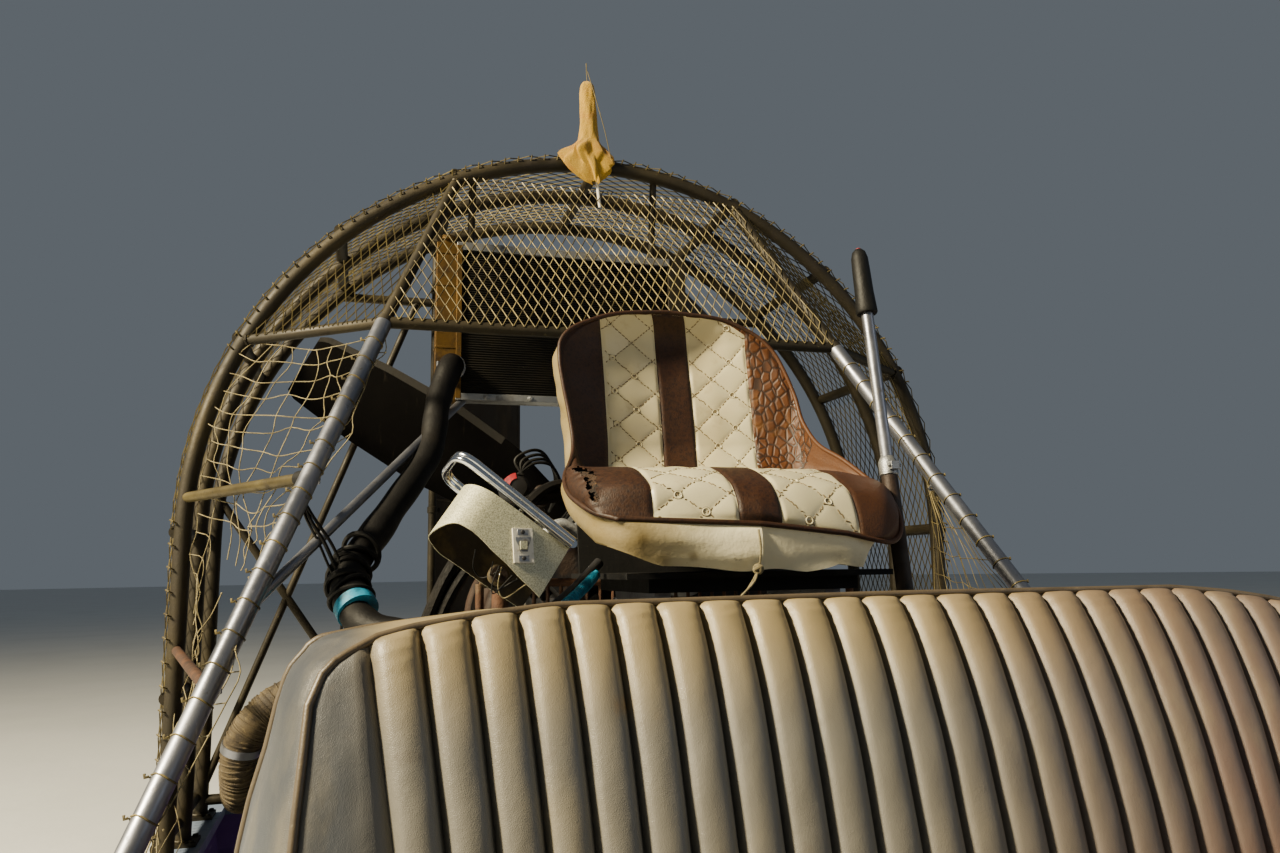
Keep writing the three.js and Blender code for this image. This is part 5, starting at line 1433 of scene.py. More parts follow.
def console_pieces():
    bend, fold = 57, CONSOLE_DEEP / 2
    front = [(x, bowed(x)) for x in np.linspace(CONSOLE_LONG, bend, 24)]
    turn = [(bend - fold * math.sin(a), fold - fold * math.cos(a))
            for a in np.linspace(0, math.pi, 33)[1:-1]]
    rear = [(x, CONSOLE_DEEP) for x in np.linspace(bend, CONSOLE_LONG, 12)]
    profile = np.array(front + turn + rear)
    steps = np.gradient(profile, axis=0)
    steps /= np.linalg.norm(steps, axis=1, keepdims=True)
    form = Form()
    for kind, depth, thick in ((0, 0.0, 1.6), (1, 1.6, 1.2)):
        form.kind = kind
        rings = []
        for i, ((x, y), (sx, sy)) in enumerate(zip(profile, steps)):
            ax, ay = x + sy * depth, y - sx * depth
            bx, by = x + sy * (depth + thick), y - sx * (depth + thick)
            in_front = float(smoothstep(fold, 0, y))
            rise = 23 * min(1, (CONSOLE_LONG - x) / (CONSOLE_LONG - bend)) * in_front
            foot = rise - CONSOLE_HIGH - 4 * (1 - in_front) + 0.5 * math.sin(i * 0.7)
            rings.append([hang(ax, ay, 0), hang(ax, ay, foot), hang(bx, by, foot), hang(bx, by, 0)])
        form.rings(rings)
    form.kind = 1
    form.block(hang, (100, 4, -4), (140, CONSOLE_DEEP - 3, 0))

    # Switch in its plate, which stands upright on the sloping panel
    middle, across, down = (136.5, -44.0), (0.808, 0.589), (0.589, -0.808)

    def plate_at(a, b, out):
        x = middle[0] + a * across[0] + b * down[0]
        return hang(x, bowed(x) - out, middle[1] + a * across[1] + b * down[1])

    form.kind = 2
    form.block(plate_at, (-17, -28, -1), (17, 28, 3))
    form.kind = 4
    form.slab([plate_at(-13, -13, 3.1), plate_at(13, -13, 3.1), plate_at(13, -8, 3.1),
               plate_at(8, 2, 3.1), plate_at(7, 10, 3.1), plate_at(-7, 10, 3.1), plate_at(-8, 2, 3.1),
               plate_at(-13, -8, 3.1)],
              plate_at(0, 0, 0.6) - plate_at(0, 0, 0))
    form.kind = 0
    form.block(plate_at, (-6, -6, 3), (6, 7, 6.5))
    for b in (-21, 21):
        form.kind = 4
        form.block(plate_at, (-9, b - 5, 2.9), (9, b + 5, 3.4))
        form.kind = 5
        form.lathe([(0.0034, 0), (0.0034, 0.0014), (0.002, 0.002)], plate_at(0, b, 3.4),
                   plate_at(0, 0, 1) - plate_at(0, 0, 0), 12)

    # Gauge hanging under the sheet, facing forwards, with its wires
    axis = hang(0, -1, 0) - hang(0, 0, 0)
    gauge = hang(134, 42, 3 - CONSOLE_HIGH)
    form.kind = 1
    form.lathe([(0.006, -0.016), (0.012, -0.014), (0.0165, -0.008), (0.0175, 0.0), (0.0175, 0.003),
                (0.015, 0.005)],
               gauge, axis, 32)
    form.kind = 6
    form.lathe([(0.0142, 0.0048), (0.0135, 0.0056)], gauge, axis, 28)
    form.kind = 3
    form.lathe([(0.0020, 0.0055), (0.0016, 0.0075)], gauge, axis, 10)
    build("console_sheet", form, "boat",
          ["hammered_sheet", "sheet_inside", "switch_plate", "chrome_bar", "cast_cover", "black_plastic",
           "rusty_pipe"], ["console_box"], bevel=0.0008)

    # Wires from the gauge: loops below the sheet and up inside it
    for k, (x0, x1, dip, away) in enumerate(((128, 176, -24, 44), (124, 150, -30, 38),
                                             (112, 160, -16, 52), (78, 132, -12, 60))):
        route = [hang(x0, 18, 8 - CONSOLE_HIGH),
                 hang((x0 * 2 + x1) / 3, away - 8, dip * 0.7 - CONSOLE_HIGH),
                 hang((x0 + x1 * 2) / 3, away - 4, dip - CONSOLE_HIGH), hang(x1, 20, 8 - CONSOLE_HIGH)]
        wire("gauge_wire_" + str(k), route, 0.002, "string" if k < 1 else "black_rubber")

    # Double bar of the handle
    left, right, rear_y, high, low = -31, 203, CONSOLE_DEEP + 16, 23, 8
    loop = rounded([(right, 0, low), (left, 0, high), (left, rear_y, high), (right, rear_y, low)], 34, 12)
    bar = Form()
    for lift, radius in ((4.2, 0.0058), (-4.2, 0.0058)):
        bar.tube([hang(x, y, z + lift) for x, y, z in loop], radius, 18)
    bar.tube([hang(x, y, z) for x, y, z in loop], 0.0042, 10)
    bar.rod(hang(right, 0, low), hang(right, rear_y, low), 0.008, 16)
    for x in (104, 136):
        bar.rod(hang(x, 14, 0.3), hang(x, 6, low), 0.004, 12)
    bar.kind = 1
    bar.rod(P(-470, -1098, POST_LOW), P(-470, -1098, 1378), 0.015, 18)
    bar.rod(P(-470, -1098, 1268), P(-390, -1098, 1327), 0.009, 12)
    bar.box(P(-505, -1133, PLATE_LOW), P(-435, -1063, 66))
    weld_bead(bar, P(-470, -1098, 68), (0, 0, 1), 0.0155, 0.003)
    build("console_handle", bar, "boat", ["chrome_bar", "rusty_rod"], ["console_loop"])


def stick_pieces():
    where = placed_at((300, -1172, 905), (-8.1, "X"))
    up = where(0, 0, 1) - where(0, 0, 0)
    form = Form()
    form.rod(where(0, 0, 584), where(0, 0, 925), 0.0125, 24)
    form.kind = 1
    form.rod(where(0, 0, -20), where(0, 0, 580), 0.016, 24)
    form.lathe([(0.009, -0.017), (0.024, -0.017), (0.024, 0.017), (0.009, 0.017)], where(0, 0, 0),
               (1, 0, 0), 28)
    weld_bead(form, where(0, 0, 25), up, 0.0165, 0.003)
    form.kind = 2
    form.lathe([(0.0165, 0.558), (0.0185, 0.560), (0.0185, 0.586), (0.0135, 0.596), (0.0125, 0.597)],
               where(0, 0, 0), up, 24)
    form.block(where, (-9, -27, 566), (9, -16, 582))
    form.rod(where(-14, -22, 574), where(14, -22, 574), 0.0035, 8)
    form.kind = 3
    form.lathe([(0.0125, 0), (0.0205, 0.0005), (0.0222, 0.004), (0.0218, 0.012), (0.0196, 0.05),
                (0.0186, 0.10), (0.0176, 0.128), (0.014, 0.142), (0.008, 0.1485), (0.003, 0.150)],
                where(0, 0, 905), up,
                32)
    for height in (30, 52, 74, 96):
        ring = circle(where(0, 0, 905 + height), (1, 0, 0), unit(np.cross(up, (1, 0, 0))),
                      0.0196 * (1 - height / 1400), 24)
        form.tube(ring, 0.0007, 5, closed=True)
    form.kind = 4
    form.lathe([(0.006, 0.1485), (0.0055, 0.151), (0.002, 0.1525)], where(0, 0, 905), up, 16)
    build("stick_tube", form, "stick",
          ["bare_tube", "rusty_pipe", "cast_cover", "black_rubber", "red_cap"], ["stick"], bevel=0.0006)


def driver_stand_pieces():
    x, low, top = -28, POST_LOW, 1226

    def corner(sign, rear, part):
        foot = P(x + sign * 250, -840 if rear else -1235, 55)
        return along(foot, P(x + sign * 165, -880 if rear else -1140, top), part)

    form = Form()
    for sign in (-1, 1):
        for rear in (False, True):
            foot = corner(sign, rear, 0.005)
            form.rod(foot, corner(sign, rear, 1), 0.019, 20)
            form.box(foot + (-0.04, -0.04, -0.0002), foot + (0.04, 0.04, 0.006))
            weld_bead(form, foot + (0, 0, 0.008), (0, 0, 1), 0.0195, 0.0035)
        for part in (0.22, 0.62, 0.995):
            form.rod(corner(sign, False, part), corner(sign, True, part), 0.013, 16)
            for rear in (False, True):
                weld_bead(form, along(corner(sign, rear, part), corner(sign, not rear, part), 0.07),
                          (0, 1, 0), 0.0135, 0.0025)
        form.rod(corner(sign, False, 0.71), P(x + sign * 209, -1370, 885), 0.012, 16)
        form.box(P(x + sign * 165 - 15, -1140, top - 13), P(x + sign * 165 + 15, -880, 1241.5))
    for rear in (False, True):
        for part in (0.22, 0.62):
            form.rod(corner(-1, rear, part), corner(1, rear, part), 0.013, 16)
    form.rod(P(x - 220, -1370, 885), P(x + 220, -1370, 885), 0.015, 18)
    form.kind = 1
    pedal = placed_at((x + 120, -1380, 925), (28, "X"))
    form.block(pedal, (-42, -5, -30), (42, 5, 140))
    for z in range(-16, 130, 18):
        form.block(pedal, (-36, -8, z), (36, -4, z + 8))
    form.kind = 2
    form.box(P(x + 105, -1390, 891), P(x + 135, -1358, 935))
    for cheek in (-40, 24):
        form.box(P(300 + cheek, -1202, 858), P(316 + cheek, -1142, 938))
        bolt(form, P(300 + (-40 if cheek < 0 else 40), -1172, 905), (-1 if cheek < 0 else 1, 0, 0), 0.009,
             0.007)
    form.box(P(260, -1202, 848), P(340, -1142, 862))
    form.rod(P(262, -1172, 905), P(338, -1172, 905), 0.006, 14)
    form.kind = 0
    form.rod(P(300, -1172, low), P(300, -1172, 855), 0.017, 20)
    form.box(P(262, -1210, PLATE_LOW), P(338, -1134, 66))
    form.rod(P(x + 200, -1164, 868), P(270, -1172, 858), 0.012, 14)
    build("driver_stand_tubes", form, "boat", ["bare_tube", "black_rubber", "plate"],
          ["driver_stand"], bevel=0.0008)

    # Two conduits from under the seat to the console's post, one of them wound with blue tape
    duct = Form()
    duct.tube(spline([P(-288, -1064, 1296), P(-344, -1104, 1250), P(-424, -1120, 1190),
                      P(-496, -1112, 1130)], 8), 0.0095, 16)
    duct.kind = 1
    route = spline([P(-298, -1082, 1276), P(-340, -1118, 1243), P(-424, -1134, 1178),
                    P(-490, -1124, 1122)], 20)
    duct.tube(route, 0.0088, 16)
    for k in range(3, len(route) - 3):
        duct.tube([route[k], along(route[k], route[k + 1], 0.45)], 0.0101, 14)
    build("conduits", duct, "boat", ["black_plastic", "blue_tape"])


def engine_guard_pieces():
    form = Form()
    left, right, low, high, y = -462, 394, 905, 1258, -745
    rim = [P(x, y, z) for x, z in ((left, low), (right, low), (right, high), (left, high), (left, low))]
    for a, b in zip(rim, rim[1:]):
        form.rod(a, b, 0.009, 14)
    rng = np.random.default_rng(21)
    for k in range(1, 30):
        x = left + (right - left) * k / 30
        bend = rng.uniform(-4, 4)
        form.tube([P(x, y, low), P(x + bend, y, (low + high) / 2), P(x, y, high)], 0.0042, 8)
    for x in (left, right):
        form.rod(P(x, y, POST_LOW), P(x, y, low), 0.012, 16)
        form.box(P(x - 30, y - 30, PLATE_LOW), P(x + 30, y + 30, 65))
    form.rod(P(left, y - 4, 1080), P(right, y - 4, 1080), 0.004, 8)
    build("engine_guard_rods", form, "boat", ["rusty_rod"], ["engine_guard"])


def radiator_pieces():
    left, core_left, core_right, right, low, high, y0, y1 = -503, -440, 228, 287, 1790, 2262, 25, 85
    form = Form()
    form.box(P(left, y0, low - 6), P(core_left, y1, high + 6))
    for z in (low + 40, low + 150, high - 130, high - 30):
        form.box(P(left - 2, y0 - 2, z), P(core_left + 2, y1 + 2, z + 7))
    form.box(P(core_left - 4, y0 - 4, low), P(core_left + 12, y0 + 4, high))
    form.lathe([(0.027, 0), (0.027, 0.026), (0.03, 0.028), (0.03, 0.034), (0.024, 0.034)],
               P(-455, y0, 1880), (0, -1, 0), 28)
    form.lathe([(0.02, 0), (0.02, 0.012), (0.027, 0.013), (0.027, 0.026), (0.012, 0.03)],
               P(-470, 55, high + 6), (0, 0, 1), 24)
    form.kind = 1
    form.box(P(core_left, y0 + 12, low + 8), P(core_right, y1 - 12, high - 8))
    fins = 60
    for k in range(fins + 1):
        z = low + 16 + (high - low - 34) * k / fins
        form.box(P(core_left + 4, y0 + 5, z), P(core_right - 4, y1 - 5, z + 2.6))
    form.kind = 2
    form.box(P(core_left - 4, y0 - 3, high - 14), P(core_right + 5, y1 + 3, high + 10))
    form.box(P(core_left - 4, y0 - 3, low - 4), P(core_right + 5, y1 + 3, low + 16))
    for x in (-350, -220, -40, 120):
        bolt(form, P(x, y0 - 3, low + 6), (0, -1, 0), 0.006, 0.005)
    form.kind = 3
    form.box(P(core_right, y0, low + 20), P(right, y1, high + 14))
    for x in (-400, 180):
        form.rod(P(x, 55, high + 4), P(x, 12, SPRING_Z + math.sqrt(ARCH_R**2 - x**2)), 0.011, 14)
    build("radiator_body", form, "boat",
          ["radiator_brass", "radiator_core", "cast_cover", "guard_tube"], ["radiator"], bevel=0.0012)


# Way of the hose from the radiator's neck to the water pump
FEED = [
    (-455, 22, 1880), (-462, -20, 1875), (-500, -75, 1760), (-526, -150, 1612), (-640, -340, 1420),
    (-725, -500, 1270), (-690, -610, 1180), (-560, -700, 1150), (-300, -720, 1180), (-120, -700, 1265),
]

HOSE_R = 0.0352


def hose_pieces():
    path = spline([P(*p) for p in FEED], 12)
    form = Form()
    lumps = HOSE_R + 0.0012 * np.sin(np.arange(len(path)) * 0.9) + 0.0014 * wander(path, 0.09, 31)
    form.tube(path, lumps, 28)
    form.kind = 1
    clamp(form, P(-456, 4, 1879), (0.1, -1, -0.1), HOSE_R + 0.0018)
    clamp(form, along(path[-1], path[-4], 0.5), path[-1] - path[-3], HOSE_R + 0.0018)
    # Black cloth and blue tape bound round the hose above the bench
    bound = spline([P(*p) for p in FEED[4:7]], 16)
    form.kind = 2
    form.tube(bound[12:26], 0.041 + 0.004 * wander(bound[12:26], 0.03, 33), 24)
    binding(form, bound, range(9, 25, 2), 0.045, 0.006, 0.014, 2.3, (0, 0, 1), 8, 24)
    form.kind = 3
    form.tube(bound[25:29], 0.0452, 28)
    build("radiator_hose_tube", form, "boat",
          ["hose_rubber", "bare_tube", "black_rubber", "blue_tape"], ["radiator_hose"])

    # Rope from the brace's end to the knots on the hose, and its loose ends
    top = P(-826, -542, 1463)
    for k, sway in enumerate((0, 14, -12)):
        wire("brace_rope_" + str(k), [
            top + (0, 0, -0.012 * k), P(-812 + sway * 0.6, -526, 1412), P(-776 + sway, -516, 1350),
            P(-752 + sway, -512, 1296), P(-738 + sway * 0.5, -520, 1262), P(-722 + sway, -540, 1222),
            P(-716 + sway * 1.6, -560, 1176 - 8 * k),
        ], 0.0085 - 0.0012 * k, "black_rubber", "limp", "knot", "hanging")

    # Two smaller coolant hoses from the water pump round to the block
    for k, shift in enumerate((0, 24)):
        wire("coolant_hose_" + str(k), [
            P(-66, -655, 1330 + shift), P(-130, -700, 1410 + shift), P(-300, -730, 1440 + shift),
            P(-440 + shift, -785, 1392 - shift), P(-517 + shift, -790, 1303 - shift * 0.6),
            P(-562 + shift, -790, 1212), P(-585 + shift, -780, 1120), P(-520 + shift, -745, 1020 - shift),
            P(-330, -700, 985 - shift), P(-150, -652, 1000 - shift),
        ], 0.026, "hose_rubber", "stiff", "object", "taut", 12)


# Places of the cylinders along the block
PORT_Y = (-565, -435, -305, -175)


def head_at(sign):
    """Local millimetres of a cylinder head to the frame."""
    return placed_at((sign * 190, 0, 1276), (sign * 45, "Y"))


def engine_pieces():
    front, rear = -640, -110
    half = [(120, 905), (150, 1000), (235, 1110), (262, 1210), (120, 1345)]
    section = half + [(-x, z) for x, z in half[::-1]]
    form = Form()
    form.rings([[P(x, y, z) for x, z in section] for y in (front, front + 12, rear - 12, rear)])
    for k in range(9):
        y = front + 30 + k * 58
        for sign in (-1, 1):
            bolt(form, P(sign * 151, y, 998), (sign, 0, 0.2), 0.006, 0.005)
            form.box(P(sign * 190, y - 4, 1010), P(sign * 250, y + 4, 1150))
    form.box(P(-156, front - 3, 990), P(156, rear - 3, 1004))
    form.kind = 1
    for x, z, radius in ((0, CRANK_Z, 0.088), (0, 1290, 0.072), (300, 1160, 0.042)):
        profile = [(0.02, -0.06), (radius, -0.06), (radius, -0.055), (radius - 0.008, -0.05),
                   (radius - 0.008, -0.042), (radius, -0.037), (radius, -0.032), (radius * 0.55, -0.032),
                   (radius * 0.55, 0.004)]
        form.lathe([(r, -h) for r, h in profile], P(x, front, z), (0, -1, 0), 40)
        form.lathe([(0.004, 0.058), (0.018, 0.06), (0.016, 0.07), (0.006, 0.071)], P(x, front, z),
                   (0, -1, 0), 6)
        for k in range(4):
            a = k * math.pi / 2 + 0.4
            bolt(form, P(x + 450 * radius * math.cos(a), front - 60, z + 450 * radius * math.sin(a)),
                 (0, -1, 0), 0.005, 0.004)
    form.lathe([(0.012, -0.036), (0.052, -0.034), (0.058, -0.028), (0.058, 0.018), (0.05, 0.024),
                (0.02, 0.026)],
               P(300, front, 1160), (0, -1, 0), 32)
    form.box(P(180, front - 12, 1120), P(280, front + 20, 1150))
    form.kind = 0
    form.lathe([(0.012, 0.0), (0.044, 0.004), (0.044, 0.09), (0.036, 0.1)], P(140, -420, 985),
               (82, 0, -60), 28)
    form.lathe([(0.038, 0.0), (0.04, 0.006), (0.04, 0.2), (0.03, 0.205)], P(-170, -330, 962), (0, 1, 0),
               28)
    form.lathe([(0.02, 0.0), (0.022, 0.004), (0.022, 0.12)], P(-196, -300, 1010), (0, 1, 0), 20)
    form.kind = 2
    form.lathe([(0.012, -0.002), (0.026, 0.0), (0.026, 0.062), (0.056, 0.07), (0.058, 0.074),
                (0.058, 0.104), (0.05, 0.118), (0.03, 0.128), (0.004, 0.13)], P(-30, -175, 1340),
                (0, 0, 1), 32)
    for k in range(8):
        a = k * math.pi / 4
        form.rod(P(-30 + 42 * math.cos(a), -175 + 42 * math.sin(a), 1450),
                 P(-30 + 42 * math.cos(a), -175 + 42 * math.sin(a), 1478), 0.0065, 10)
    # Belt: the outline round the three pulleys
    ring = []
    centres = [(0, CRANK_Z, 90), (300, 1160, 44), (0, 1290, 74)]
    for k, (x, z, radius) in enumerate(centres):
        (x0, z0, _), (x2, z2, _) = centres[k - 1], centres[(k + 1) % 3]
        into = math.atan2(z - z0, x - x0) - math.pi / 2
        out = math.atan2(z2 - z, x2 - x) - math.pi / 2
        while out < into:
            out += 2 * math.pi
        ring += [P(x + radius * math.cos(a), front - 46, z + radius * math.sin(a))
                 for a in np.linspace(into, out, 14)]
    form.tube(ring, 0.005, 8, closed=True)
    build("engine_casting", form, "boat", ["engine_iron", "cast_cover", "black_rubber"],
          ["engine_block"], bevel=0.0015)

    for side, sign in SIDES:
        where = head_at(sign)
        head = Form()
        head.kind = 1
        head.block(where, (-88, front + 15, 0.5), (88, rear - 15, 80))
        head.kind = 0
        rings = []
        for y in np.linspace(front + 25, rear - 25, 14):
            end = min(1.0, (min(y - front - 25, rear - 25 - y) / 16 + 0.001)) ** 0.5
            rings.append([where(56 * math.cos(a), y, 84 + (64 * end) * max(0, math.sin(a)) ** 0.45)
                          for a in np.linspace(0, math.pi, 17)] + [where(-56, y, 80), where(56, y, 80)])
        head.rings(rings)
        for y in np.linspace(front + 50, rear - 50, 5):
            for x in (-62, 62):
                bolt(head, where(x, y, 81), where(0, 0, 1) - where(0, 0, 0), 0.006, 0.005)
        for y in PORT_Y:
            plug = where(sign * 88, y + 30, 30)
            outward = where(sign, 0, 0) - where(0, 0, 0)
            head.kind = 2
            head.lathe([(0.009, 0), (0.009, 0.012), (0.007, 0.024), (0.004, 0.028)], plug, outward, 12)
        head.kind = 0
        head.lathe([(0.018, 0), (0.018, 0.008), (0.024, 0.01), (0.024, 0.02), (0.01, 0.024)],
                   where(0, -540, 146), where(0, 0, 1) - where(0, 0, 0), 20)
        build("cylinder_head_" + side + "_cover", head, "boat",
              ["cast_cover", "engine_iron", "black_rubber"], ["cylinder_head_" + side], bevel=0.002)

        pipe = Form()
        pipe.rod(P(sign * 408, -600, 1085), P(sign * 408, -70, 1085), 0.038, 24)
        for y in PORT_Y:
            pipe.tube(spline([P(sign * 302, y, 1275), P(sign * 372, y, 1270), P(sign * 408, y + 10, 1200),
                              P(sign * 408, y + 15, 1095)], 6),
                      0.019, 16)
            pipe.block(placed_at((sign * 300, y, 1272), (sign * 45, "Y")), (-8, -36, -26), (8, 36, 26))
            weld_bead(pipe, P(sign * 408, y + 15, 1122), (0, 0, 1), 0.02, 0.003)
        route = spline([P(sign * x, y, z) for x, y, z in (
            (408, -80, 1085), (450, 0, 1080), (640, 20, 1020), (900, -20, 950), (975, -20, 860),
            (985, 40, 730), (985, 200, 690), (985, 500, 680), (985, 800, 680))], 14)
        first, last = 40, 76
        pipe.tube(route[: first + 1], 0.042, 28)
        pipe.tube(route[last:], 0.042, 28)
        # Section bound in cloth over a flexible joint, with a clamp
        pipe.kind = 1
        bound = route[first - 1 : last + 1]
        pipe.tube(bound, 0.046 + 0.0014 * np.sin(np.arange(len(bound)) * 2.2)
                  + 0.002 * wander(bound, 0.05, 41), 28)
        binding(pipe, bound, range(len(bound) - 1), 0.0468, 0.0028, 0.005, 1, (0, 1, 0.2), 6, 28)
        pipe.kind = 2
        clamp(pipe, route[58], route[59] - route[57], 0.049, 0.02)
        pipe.kind = 0
        for place in (route[first - 2], route[last + 1]):
            clamp(pipe, place, (0, 1, 0) if place[2] < 0.72 else route[first - 1] - route[first - 3],
                  0.0425, 0.016)
        build("exhaust_" + side + "_pipe", pipe, "boat",
              ["rusty_pipe", "pipe_wrap", "bare_tube"], ["exhaust_" + side])

    top = Form()
    top.box(P(-108, -560, 1345.3), P(108, -190, 1392))
    for y in (-520, -400, -280):
        for sign in (-1, 1):
            top.tube(spline([P(sign * 40, -390, 1392), P(sign * 80, (y - 390) / 2, 1398),
                             P(sign * 120, y, 1380)], 5), 0.016, 12)
    top.kind = 1
    top.box(P(-70, -465, 1380), P(70, -315, 1440))
    top.lathe([(0.06, 0), (0.06, 0.03), (0.165, 0.046), (0.168, 0.05)], P(0, -390, 1432), (0, 0, 1), 56)
    top.kind = 2
    top.lathe([(0.16, 0.05), (0.162, 0.056), (0.162, 0.108), (0.16, 0.112)], P(0, -390, 1432), (0, 0, 1),
              56)
    top.kind = 1
    top.lathe([(0.168, 0.11), (0.168, 0.116), (0.15, 0.121), (0.06, 0.124), (0.012, 0.126),
               (0.012, 0.13)],
              P(0, -390, 1432), (0, 0, 1), 56)
    build("intake_top", top, "boat", ["cast_cover", "chrome_bar", "pipe_wrap"], ["intake"],
          bevel=0.0015)

    drive = Form()
    for radius, z in ((0.130, CRANK_Z), (0.115, SPRING_Z)):
        drive.lathe([(radius - 0.01, 0.0003), (radius, 0.008), (radius, 0.162), (radius - 0.01, 0.17)],
                    P(0, rear, z), (0, 1, 0), 48)
        for k in range(10):
            a = k * math.pi / 5
            bolt(drive, P(1000 * (radius - 0.014) * math.cos(a), rear + 170,
                          z + 1000 * (radius - 0.014) * math.sin(a)), (0, 1, 0), 0.006, 0.005)
    drive.box(P(-112, rear + 0.3, CRANK_Z), P(112, 60, SPRING_Z))
    for k in range(5):
        z = CRANK_Z + 60 + k * 40
        drive.box(P(-116, rear + 10, z), P(116, 50, z + 6))
    drive.lathe([(0.06, 0), (0.062, 0.004), (0.062, 0.036), (0.05, 0.04)], P(0, 55, SPRING_Z), (0, 1, 0),
                32)
    build("reduction_drive_case", drive, "boat", ["cast_cover"], ["reduction_drive"],
          bevel=0.002)

    stand = Form()
    for x in (-330, 330):
        for y in (-668, -60):
            stand.rod(P(x * 1.25, y, POST_LOW), P(x, y, 1030), 0.020, 20)
            stand.box(P(x * 1.25 - 40, y - 40, PLATE_LOW), P(x * 1.25 + 40, y + 40, 66))
        stand.rod(P(x, -680, 1030), P(x, -48, 1030), 0.020, 20)
        stand.rod(P(x * 1.2, -660, 250), P(x, -70, 1020), 0.014, 16)
        stand.rod(P(x, -60, 1030), P(x * 0.62, -60, 1256), 0.016, 16)
        for y in (-490, -260):
            stand.box(P(min(x, x * 0.74), y - 30, 1018), P(max(x, x * 0.74), y + 30, 1044))
            bolt(stand, P(x * 0.86, y, 1044), (0, 0, 1), 0.009, 0.008)
    for y in (-668, -60):
        stand.rod(P(-330, y, 1030), P(330, y, 1030), 0.018, 18)
        stand.rod(P(-400, y, 250), P(400, y, 250), 0.014, 16)
    build("engine_stand_tubes", stand, "boat", ["guard_tube"], ["engine_stand"],
          bevel=0.0008)


def ignition_pieces():
    """Coil with a red and black cap in front of the engine, and the leads that loop over to the heads."""
    form = Form()
    coil = P(-381, -720, 1462)
    form.lathe([(0.004, -0.012), (0.02, -0.010), (0.028, -0.002), (0.029, 0.004), (0.029, 0.03),
                (0.026, 0.032), (0.026, 0.1), (0.02, 0.102)],
               coil, (0, 1, 0), 32)
    form.kind = 1
    corners = ((0.0305, -0.006), (0.0305, 0.024), (0.018, 0.024), (0.018, -0.012))
    form.rings([[coil + (r * math.cos(a), y, r * math.sin(a)) for r, y in corners]
                for a in np.linspace(1.7, 3.1, 9)])
    form.kind = 2
    form.rod(coil + (0, 0.07, -0.02), P(-318, -600, 1392), 0.007, 10)
    form.lathe([(0.008, 0), (0.022, 0.004), (0.024, 0.02), (0.016, 0.03)], P(-330, -700, 1441),
               (0.3, -1, 0.2), 20)
    form.rod(P(-330, -700, 1441), P(-300, -612, 1395), 0.007, 10)
    build("coil", form, "boat", ["black_plastic", "red_cap", "rusty_pipe"])
    for k in range(4):
        wire("lead_" + str(k), [
            coil + (0.012 - 0.004 * k, -0.004, 0.026),
            coil + (-0.004 + 0.014 * k, 0.0, 0.058 - 0.002 * k), P(-352 + 12 * k, -716, 1542 - 9 * k),
            P(-322 + 8 * k, -700, 1541 - 11 * k), P(-290 + 5 * k, -672, 1500 - 8 * k),
            P(-278 + 8 * k, -612 + 60 * k, 1440 - 4 * k),
        ], 0.007, "black_rubber", "stiff", "object", "loose", 10)
    for side, sign in SIDES:
        where = head_at(sign)
        for k, y in enumerate(PORT_Y):
            a = math.pi * (0.5 + sign * (0.28 + 0.16 * k)) - math.pi / 2
            post = P(-30 + 42 * math.cos(a * 2), -175 + 42 * math.sin(a * 2), 1478)
            end = where(sign * 112, y + 30, 30)
            wire("plug_wire_" + side + "_" + str(k), [
                post, post + (sign * 0.03, -0.01, 0.035), along(post, end, 0.45) + (0, 0, 0.07),
                end + (sign * 0.03, 0, 0.05), end,
            ], 0.007, "black_rubber", "stiff")


